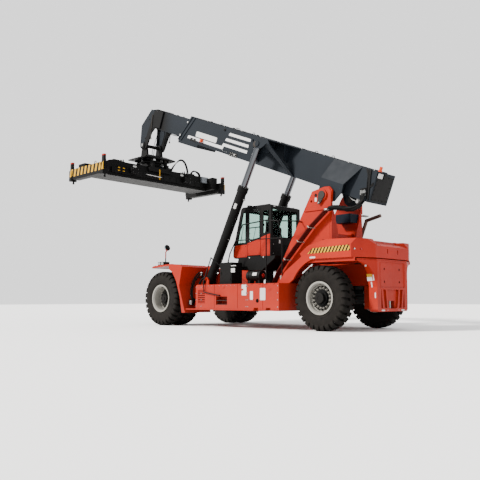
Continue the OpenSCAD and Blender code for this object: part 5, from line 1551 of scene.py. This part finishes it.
# %% Box, tank, rail feet and small things on deck
TANK_Y, TANK_Z = 1.400, 1.640
for side, word in SIDES.items():
    labels = Maker()
    labels.plate(rounded(3.555, 1.835, 0.245, 0.130, 0.010), "y",
                 side*1.620, side*1.623)
    labels.plate(rounded(3.505, 1.985, 0.240, 0.022, 0.004), "y",
                 side*1.620, side*1.623)
    for x in (2.760, 3.395):
        labels.turned([(0.020, 0), (0.020, 0.006), (0.012, 0.010)],
                      (x, side*1.0, 2.262), (0, side, 0), 16)
    rings = []
    for x in (2.520, 2.700):
        rings.append([(x, side*(TANK_Y + 0.1675*math.cos(t)),
            TANK_Z + 0.1675*math.sin(t)) for t in lined(9, 0.02, 0.62)]
            + [(x, side*(TANK_Y + 0.1655*math.cos(t)),
                TANK_Z + 0.1655*math.sin(t)) for t in lined(9, 0.62, 0.02)])
    labels.rings(rings)
    labels.done("deck_labels_" + word, "chassis", plate_white)
    box = Maker()
    box.plate(rounded(3.860, 1.755, 0.50, 0.58, 0.02), "y", side*1.6195,
              side*1.630)
    for z in (1.55, 1.95):
        box.turned([(0.012, 0), (0.012, 0.06)], (3.640, side*1.633,
                   z - 0.03), (0, 0, 1), 10)
    box.plate(rounded(4.070, 1.755, 0.035, 0.11, 0.010), "y", side*1.630,
              side*1.642)
    for x in (2.500, 2.880):
        loop = [(x, side*(TANK_Y + 0.170*math.cos(t)),
                 TANK_Z + 0.170*math.sin(t)) for t in
                (2*math.pi*k/40 for k in range(41))]
        for a, b in zip(loop[:-1], loop[1:]):
            box.tube([a, b], 0.006, 6)
    box.turned([(0.120, 0), (0.120, 0.010), (0.030, 0.016)],
               (2.990, side*TANK_Y, TANK_Z), (1, 0, 0), 32)
    box.tube(smooth_path([(2.70, side*1.40, 1.475), (2.70, side*1.40,
        1.43), (2.66, side*1.40, 1.41)], 4), 0.010)
    box.done("box_and_tank_" + word, "chassis", black_paint, 0.002)
    cap = Maker()
    cap.turned([(0.062, 0), (0.062, 0.016), (0.050, 0.024), (0.020, 0.026),
                (0.001, 0.026)], (2.410, side*1.380, 1.650), (-1, 0, 0), 28)
    cap.done("tank_cap_" + word, "chassis", lens_red)
    feet = Maker()
    for x, y, z in ((2.230, 1.430, 1.380), (3.950, 1.430, 2.100)):
        feet.turned([(0.060, 0.0005), (0.060, 0.012), (0.026, 0.014),
                     (0.026, 0.034), (0.0215, 0.036)], (x, side*y, z),
                    (0, 0, 1), 28)
        feet.bolt_ring(4, 0.044, (x, side*y, z + 0.012), (0, 0, 1), 0.007,
                       45)
    feet.done("rail_feet_" + word, "chassis", black_paint)
    deck = Maker()
    deck.turned([(0.050, 0), (0.050, 0.02), (0.036, 0.024), (0.036, 0.20),
                 (0.044, 0.204), (0.044, 0.235), (0.020, 0.25),
                 (0.001, 0.252)], (1.710, side*1.30, 1.3805), (0, 0, 1), 24)
    deck.done("deck_filter_" + word, "chassis", rim_paint)
print("deck dressed")

# %% [markdown]
# ## Mirror, foot of the cylinders and fender hoses
# The mirror stands on a red arm. Lamps and mirror are one black solid, so a
# height mask paints the arm red and gives the dish a light blue-grey as a
# painted reflection. Two thick hoses fall in an arc from a bracket on the
# fender to a filter head behind it.

# %% Painted mirror, arc hoses and filter head
lamp_paint_with_painted_reflection = finish("lamp_paint_with_painted_reflection", BLACK, 0.45, dust=0.0)
tree = lamp_paint_with_painted_reflection.node_tree
place = space(tree)[1]
ahead = step(tree, place["X"], at(6.0, 0, 0).x, at(6.01, 0, 0).x)
# above 2.345 m the arm gets red paint; above 2.655 m the mirror dish gets a
# light blue-grey, a painted reflection
for low, colour in ((2.345, (0.20, 0.010, 0.0045)),
                    (2.655, (0.10, 0.13, 0.15))):
    above = step(tree, place["Z"], low, low + 0.004)
    painted_over(lamp_paint_with_painted_reflection, reckon(tree, "MULTIPLY", ahead, above), colour)
nodes["work_lamps"].data.materials[0] = lamp_paint_with_painted_reflection
for side, word in SIDES.items():
    arcs = Maker()
    for i in range(2):
        drop, inward = 0.075*i, 0.055*i
        arcs.tube(smooth_path([(5.395, side*1.310, 1.810 - drop),
            (5.460, side*1.325, 1.835 - drop),
            (5.545, side*(1.400 - inward*0.5), 1.765 - drop),
            (5.590, side*(1.540 - inward), 1.530 - drop*0.5),
            (5.580, side*(1.640 - inward), 1.220),
            (5.520, side*(1.675 - inward), 0.990),
            (5.480, side*(1.660 - inward), 0.900)], 9), 0.024, 14)
    arcs.done("fender_hoses_" + word, "chassis", hose_rubber)
    head = Maker()
    head.turned([(0.070, 0), (0.085, 0.010), (0.085, 0.110), (0.060, 0.125),
                 (0.055, 0.160), (0.001, 0.165)], (5.580, side*1.600, 0.850),
                (-1, 0, 0), 28)
    head.block(5.375, 5.622, side*1.275, side*1.345, 1.640, 1.665)
    head.block(5.375, 5.393, side*1.275, side*1.345, 1.640, 1.860)
    head.done("filter_head_" + word, "chassis", black_paint, 0.002)
    unions = Maker()
    for i in range(2):
        unions.turned([(0.036, -0.02), (0.036, 0.030), (0.030, 0.034),
                       (0.030, 0.060)], (5.393, side*1.310,
                      1.810 - 0.075*i), (1, side*0.15, 0.25), 6)
    unions.done("fender_unions_" + word, "chassis", zinc)
print("fender side dressed")

# %% [markdown]
# ## Lift cylinders and the head
# A cylinder gets a gland with a ring of bolts and a wiper lip, bands that
# hold the oil line, and unions at its ports. The pins of the eyes are kept by
# round plates. Each piece rides on the body that carries it, so the rod may
# slide through the gland without taking the bolts along.

# %% Cylinder, pins and nose lamps
CYL_LEAN = math.radians(27.905)
CYL_FOOT_X, CYL_Y, CYL_FOOT_Z = 5.260, 1.080, 1.500
EYE_U, EYE_V = 2.985, 0.865


def on_cylinder(x, y, z):
    """Z runs up the cylinder from the pin at its foot."""
    c, s = math.cos(CYL_LEAN), math.sin(CYL_LEAN)
    return at(CYL_FOOT_X + x*c - z*s, y, CYL_FOOT_Z + x*s + z*c)


def band(maker, y, z, radius, thick=0.006, wide=0.012):
    """A flat strap round something that stands along Z."""
    profile = [(radius, z), (radius + thick, z), (radius + thick,
               z + wide), (radius, z + wide), (radius, z)]
    rings = [[(r*math.cos(t), y + r*math.sin(t), h) for t in around(40)]
             for r, h in profile]
    return maker.rings(rings, caps=False)


for side, word in SIDES.items():
    y = side*CYL_Y
    gland = Maker(on_cylinder)
    gland.bolt_ring(12, 0.150, (0, y, 3.560), (0, 0, 1), 0.014, 15)
    for z in (3.17, 0.46):
        gland.turned([(0.030, 0), (0.030, 0.035), (0.024, 0.04),
                      (0.024, 0.05)], (-0.214, y, z), (-1, 0, 0), 6)
    for z in (0.95, 1.70, 2.45):
        gland.bolt((-0.196, y + 0.040, z + 0.006), (-1, 0, 0), 0.008)
    gland.done("gland_bolts_" + word, "lift_tube_" + word[0], zinc)
    lip = Maker(on_cylinder)
    band(lip, y, 3.5605, 0.1125, 0.022, 0.016)
    for z in (0.95, 1.70, 2.45):
        band(lip, y, z, 0.1655)
        lip.block(-0.216, -0.166, y - 0.030, y + 0.030, z - 0.012,
                  z + 0.024)
    band(lip, y, 0.104, 0.1655, 0.005, 0.020)
    lip.done("gland_lip_" + word, "lift_tube_" + word[0], black_paint,
             0.001)
    plate = Maker(on_cylinder)
    plate.rings([[(0.1665*math.cos(t), y + side*0.1665*math.sin(t), z)
                  for t in lined(7, 1.75, 2.30)]
                 + [(0.1653*math.cos(t), y + side*0.1653*math.sin(t), z)
                    for t in lined(7, 2.30, 1.75)] for z in (2.78, 2.96)])
    plate.done("cylinder_plate_" + word, "lift_tube_" + word[0],
               plate_white)
    pins = Maker(on_boom)
    pins.turned([(0.098, 0), (0.098, 0.012), (0.060, 0.016),
                 (0.058, 0.024), (0.001, 0.024)],
                (EYE_U, side*1.2445, EYE_V), (0, side, 0), 40)
    pins.bolt_ring(4, 0.079, (EYE_U, side*1.2565, EYE_V), (0, side, 0),
                   0.010, 45)
    pins.done("eye_keepers_" + word, "boom", steel)
    rings, lens = Maker(on_boom), Maker(on_boom)
    for u, v in ((7.700, 0.890), (7.969, 0.330)):
        rings.turned([(0.036, 0), (0.036, 0.020), (0.030, 0.022),
                      (0.029, 0.014)], (u, side*0.506, v), (0, side, 0), 24)
        lens.turned([(0.029, 0.004), (0.029, 0.014), (0.018, 0.022),
                     (0.001, 0.025)], (u, side*0.506, v), (0, side, 0), 24)
    rings.done("nose_lamp_rings_" + word, "boom", zinc)
    lens.done("nose_lamps_" + word, "boom", lens_clear)
    seams = Maker(on_boom)
    y = side*0.4105
    bead(seams, (7.90, y, 0.274), (9.46, y, 0.274))
    bead(seams, (7.60, y, 1.022), (9.46, y, 1.022))
    bead(seams, (9.485, y, 0.35), (9.485, y, 1.00))
    seams.done("inner_seams_" + word, "inner_boom", boom_paint)
    pads = Maker(on_boom)
    for u, v in ((9.90, 0.30), (10.30, 0.55), (10.28, -0.25)):
        pads.turned([(0.030, 0), (0.030, 0.008), (0.018, 0.010),
                     (0.001, 0.010)], (u, side*0.471, v), (0, side, 0), 20)
    pads.tube(smooth_path([(8.30, side*0.30, 0.262), (8.60, side*0.30,
        0.235), (9.20, side*0.30, 0.245), (9.60, side*0.30, 0.262)], 6),
        0.014, 10)
    pads.done("head_plugs_" + word, "inner_boom", black_paint)
    damper = Maker(on_boom)
    damper.tube([(10.130, side*0.483, 0.74), (9.980, side*0.483, 0.19)],
                0.022, 14)
    damper.tube([(9.980, side*0.483, 0.19), (9.880, side*0.483, -0.17)],
                0.013, 12)
    for u, v in ((10.130, 0.74), (9.880, -0.17)):
        damper.turned([(0.034, -0.012), (0.034, 0.022), (0.014, 0.022),
                       (0.014, 0.034), (0.001, 0.034)],
                      (u, side*0.4725, v), (0, side, 0), 20)
    damper.done("head_damper_" + word, "inner_boom", steel)
print("cylinders and head dressed")

# %% [markdown]
# ## The spreader
# The end beams are striped, and their corner posts have red tops. Both marks
# are part of one black paint: a mask built from height and length decides
# where they lie. The arms slide, so the mask is taken from the arm's own
# space and travels with it.

# %% Paint of the arms, and painted shade on the boom head and inner boom
HEAD_X, LOCK_Z, BEAM_Z, FRAME_TOP = 10.2514, 5.5584, 5.7084, 6.3184
TURN_Z, HANG_Z, HEAD_PIN_Z = 6.6184, 6.8384, 7.3184


def over(x, y, z):
    """X and Y from the axis of the turntable, Z from the ground."""
    return at(HEAD_X + x, y, z)


def product(tree, first, *others):
    """Masks multiplied together."""
    for other in others:
        first = reckon(tree, "MULTIPLY", first, other)
    return first


arm_paint = finish("arm_paint", BLACK, 0.5, dust=0.0)
tree = arm_paint.node_tree
place = space(tree)[1]
height = place["Z"]
slant = reckon(tree, "MULTIPLY_ADD", height, 0.22, place["X"])
painted_over(arm_paint, product(tree,
    step(tree, reckon(tree, "ABSOLUTE", place["Y"]), 3.040, 3.042),
    step(tree, height, LOCK_Z + 0.165, LOCK_Z + 0.170),
    step(tree, height, LOCK_Z + 0.475, LOCK_Z + 0.470),
    step(tree, reckon(tree, "WRAP", slant, 0.256, 0), 0.124, 0.130)),
    HAZARD_YELLOW)
painted_over(arm_paint, step(tree, height, LOCK_Z + 0.700,
                             LOCK_Z + 0.705), (0.20, 0.012, 0.006))
for name in ("spreader_arm_left", "spreader_arm_right"):
    nodes[name].data.materials[0] = arm_paint


def along_boom(tree, high_bend):
    """Length along the boom at rest, leaning with height."""
    zero, ahead, up = (on_boom(*p) for p in ((0, 0, 0), (1, 0, 0),
                                             (0, 0, 1)))
    axis = (ahead - zero) + high_bend*(up - zero)
    return reckon(tree, "SUBTRACT", measured(tree, axis), zero.dot(axis))


# painted shade: the front of the inner boom fades to near black from 8.55 to
# 9.20 m up the boom, and the head is near black beyond 10.21 m, as where they
# lie in shade
PAINTED_SHADE = (0.0016, 0.0016, 0.0017)
for name, node, lean, first, last in (
        ("head_paint_with_painted_shade", "boom_head", 0.13, 10.215, 10.205),
        ("inner_paint_with_painted_shade", "boom_inner", -0.35, 8.55, 9.20)):
    paint = finish(name, SLATE, 0.55, dust=0.0)
    tree = paint.node_tree
    painted_over(paint, step(tree, along_boom(tree, lean), first, last),
                 PAINTED_SHADE)
    nodes[node].data.materials[0] = paint

# %% [markdown]
# The rest is what a fitter would see from the ladder: ribs along the beams,
# covers with bolts, valve blocks, hoses in loops and a ring of bolts round
# the turntable.

# %% Beams, boxes and marks
ribs, bolts, greys = Maker(over), Maker(over), Maker(over)
yellow, whites = Maker(over), Maker(over)
for side in SIDES:
    x = side*0.610
    for y in lined(14, -2.20, 2.20):
        ribs.block(x, x + side*0.012, y - 0.006, y + 0.006, BEAM_Z + 0.125,
                   BEAM_Z + 0.325)
    for y in lined(28, -2.25, 2.25):
        bolts.bolt((x - side*0.045, y, BEAM_Z + 0.330), (0, 0, 1), 0.010)
    for y in lined(12, -2.45, 2.45):
        ribs.block(side*0.520, side*0.532, y - 0.008, y + 0.008,
                   BEAM_Z + 0.345, BEAM_Z + 0.42)
    for y in (1.99, 1.77):
        for z in (6.040, 5.925):
            yellow.plate(rounded(y, z, 0.085, 0.035, 0.004), "x", x,
                         x + side*0.0125)
    yellow.plate(rounded(0.042, 6.050, 0.055, 0.42, 0.004), "x",
                 side*0.6225, side*0.624)
    for y in (-0.175, 0.26):
        yellow.plate(rounded(y, 6.262, 0.10, 0.05, 0.004), "x",
                     side*0.520, side*0.5225)
    for y in (-1.20, 1.20):
        whites.plate(rounded(y, 6.22, 0.16, 0.07, 0.006), "x",
                     side*0.520, side*0.5225)
    whites.tube([(side*0.640, -0.04, 5.937), (side*0.640, 0.715, 5.959)],
                0.014, 12)
    for y in (-0.02, 0.69):
        ribs.block(side*0.608, side*0.652, y - 0.02, y + 0.02, 5.915,
                   5.980)
    for y0 in (-2.060, 1.780):
        greys.block(-0.325, 0.325, y0 + 0.006, y0 + 0.274,
                    FRAME_TOP + 0.0905, FRAME_TOP + 0.102)
        for x in (-0.28, 0.28):
            for y in (y0 + 0.04, y0 + 0.24):
                bolts.bolt((x, y, FRAME_TOP + 0.102), (0, 0, 1), 0.011)
    box = 1.325*side
    greys.block(-0.792, -0.7805, box - 0.150, box + 0.150, BEAM_Z + 0.200,
                BEAM_Z + 0.380)
    for z in (BEAM_Z + 0.22, BEAM_Z + 0.36):
        for y in (box - 0.13, box + 0.13):
            bolts.bolt((-0.792, y, z), (-1, 0, 0), 0.008)
for y in (-2.45, 2.45):
    for x in (-0.35, 0.35):
        ribs.tube(smooth_path([(x - 0.06, y, FRAME_TOP - 0.06),
            (x - 0.05, y, FRAME_TOP + 0.03), (x + 0.05, y,
            FRAME_TOP + 0.03), (x + 0.06, y, FRAME_TOP - 0.06)], 5),
            0.012, 10)
ribs.done("spreader_ribs", "spreader", black_paint, 0.001)
bolts.done("spreader_bolts", "spreader", zinc)
greys.done("spreader_covers", "spreader", black_paint, 0.002)
yellow.done("spreader_marks", "spreader", label_yellow)
whites.done("spreader_plates", "spreader", plate_white)
grey_box = Maker(over)
grey_box.block(-0.622, -0.500, -2.590, -2.260, BEAM_Z + 0.345,
               BEAM_Z + 0.600)
for y in (-2.56, -2.29):
    grey_box.bolt((-0.622, y, BEAM_Z + 0.37), (-1, 0, 0), 0.010)
grey_box.done("spreader_lamp_box", "spreader", finish("box_grey",
              (0.16, 0.175, 0.19), 0.4, dust=0.0), 0.012)

# %% Hoses, valves and the turntable
loops = Maker(over)
for i in range(3):
    x = -0.47 + 0.06*i
    loops.tube(smooth_path([(x, -1.76, FRAME_TOP - 0.02),
        (x, -1.82 - 0.02*i, FRAME_TOP + 0.15), (x, -2.02, FRAME_TOP + 0.20
        + 0.02*i), (x, -2.22 - 0.02*i, FRAME_TOP + 0.12),
        (x, -2.27, FRAME_TOP - 0.06)], 7), 0.026, 12)
for side in SIDES:
    for i in range(4):
        y = side*(0.75 + 0.055*i)
        loops.tube([(side*0.560, y + side*0.3, BEAM_Z + 0.350 + 0.02*i),
                    (side*0.560, side*1.72, BEAM_Z + 0.350 + 0.02*i)],
                   0.009, 8)
loops.done("spreader_hoses", "spreader", hose_rubber)
valves = Maker(over)
for side in SIDES:
    valves.block(-0.30, 0.30, side*1.495, side*1.750, FRAME_TOP - 0.0005,
                 FRAME_TOP + 0.07)
    for k in range(5):
        valves.turned([(0.028, 0), (0.028, 0.06), (0.020, 0.066),
                       (0.020, 0.10), (0.001, 0.10)],
                      (-0.24 + 0.12*k, side*1.56, FRAME_TOP + 0.07),
                      (0, 0, 1), 16)
        valves.turned([(0.022, 0), (0.022, 0.03), (0.016, 0.034),
                       (0.016, 0.07)], (-0.24 + 0.12*k, side*1.68,
                      FRAME_TOP + 0.07), (0, 0, 1), 6)
valves.done("spreader_valves", "spreader", steel, 0.003)
ring = Maker(over)
ring.bolt_ring(36, 0.492, (0, 0, TURN_Z - 0.001), (0, 0, 1), 0.013, 5)
for a in (35, 145, 215, 325):
    x, y = 0.590*math.cos(math.radians(a)), 0.590*math.sin(math.radians(a))
    ring.turned([(0.070, 0), (0.070, 0.012), (0.050, 0.014),
                 (0.050, 0.10), (0.058, 0.102), (0.058, 0.118),
                 (0.020, 0.124), (0.001, 0.124)], (x, y, TURN_Z + 0.010),
                (0, 0, 1), 28)
    ring.bolt_ring(6, 0.064, (x, y, TURN_Z + 0.022), (0, 0, 1), 0.006)
ring.done("turntable_bolts", "rotator", steel)
keepers = Maker(over)
for side in SIDES:
    keepers.turned([(0.066, 0), (0.066, 0.010), (0.040, 0.014),
                    (0.001, 0.014)], (0, side*0.5106, HEAD_PIN_Z),
                   (0, side, 0), 32)
    keepers.bolt_ring(3, 0.045, (0, side*0.5206, HEAD_PIN_Z),
                      (0, side, 0), 0.009, 90)
keepers.done("head_keepers", "hanger", zinc)
skirt = Maker(over)
for side in SIDES:
    skirt.tube([(-0.60, side*0.755, HANG_Z - 0.1325),
                (0.60, side*0.755, HANG_Z - 0.1325)], 0.006, 8)
    for x in lined(6, -0.5, 0.5):
        skirt.bolt((x, side*0.62, HANG_Z - 0.029), (0, side*0.36, 1), 0.011)
skirt.done("hanger_edge", "hanger", black_paint)
lamp = Maker(over)
lamp.plate(rounded(0.31, HANG_Z - 0.20, 0.13, 0.09, 0.015), "x", -0.5205,
           -0.60)
lamp.done("hanger_lamp", "hanger", black_paint, 0.004)
lamp = Maker(over)
lamp.plate(rounded(0.31, HANG_Z - 0.20, 0.11, 0.07, 0.012), "x", -0.6001,
           -0.604)
lamp.done("hanger_lamp_lens", "hanger", lens_clear)
print("spreader dressed")

# %% [markdown]
# Hoses hang in free loops from the head to the yoke and from the turntable
# to the sliding frame.

# %% Free loops at the head and the turntable
HEAD_HOSES_Y, LOOP_COUNT = (-0.24, -0.16, 0.12, 0.20), 3
for i, y in enumerate(HEAD_HOSES_Y):
    loop = Maker()
    start = on_boom(9.960, y, 0.300) - at(0, 0, 0)
    path = [tuple(start), (start.x + 0.05, y, start.z - 0.30),
            (HEAD_X - 0.36 + 0.02*i, y, 7.16 - 0.03*i),
            (HEAD_X - 0.30, y, 6.98), (HEAD_X - 0.24, y, HANG_Z + 0.041)]
    loop.tube(smooth_path(path, 8), 0.013, 10)
    loop = loop.done("head_hose_%d" % i, None, hose_rubber)
    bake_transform(loop)
for i in range(LOOP_COUNT):
    loop = Maker()
    path = [(HEAD_X - 0.6205, -0.44 - 0.045*i, FRAME_TOP - 0.09),
            (HEAD_X - 0.668, -0.66 - 0.03*i, TURN_Z - 0.06 + 0.02*i),
            (HEAD_X - 0.685, -0.95, TURN_Z + 0.17 + 0.025*i),
            (HEAD_X - 0.685, -1.15 - 0.03*i, TURN_Z + 0.13 + 0.025*i),
            (HEAD_X - 0.660, -1.33 - 0.04*i, TURN_Z - 0.15),
            (HEAD_X - 0.585, -1.43 - 0.04*i, BEAM_Z + 0.345)]
    loop.tube(smooth_path(path, 8), 0.015, 10)
    loop = loop.done("spreader_hose_%d" % i, None, hose_rubber)
    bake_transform(loop)
print("free loops:", len(HEAD_HOSES_Y) + LOOP_COUNT)
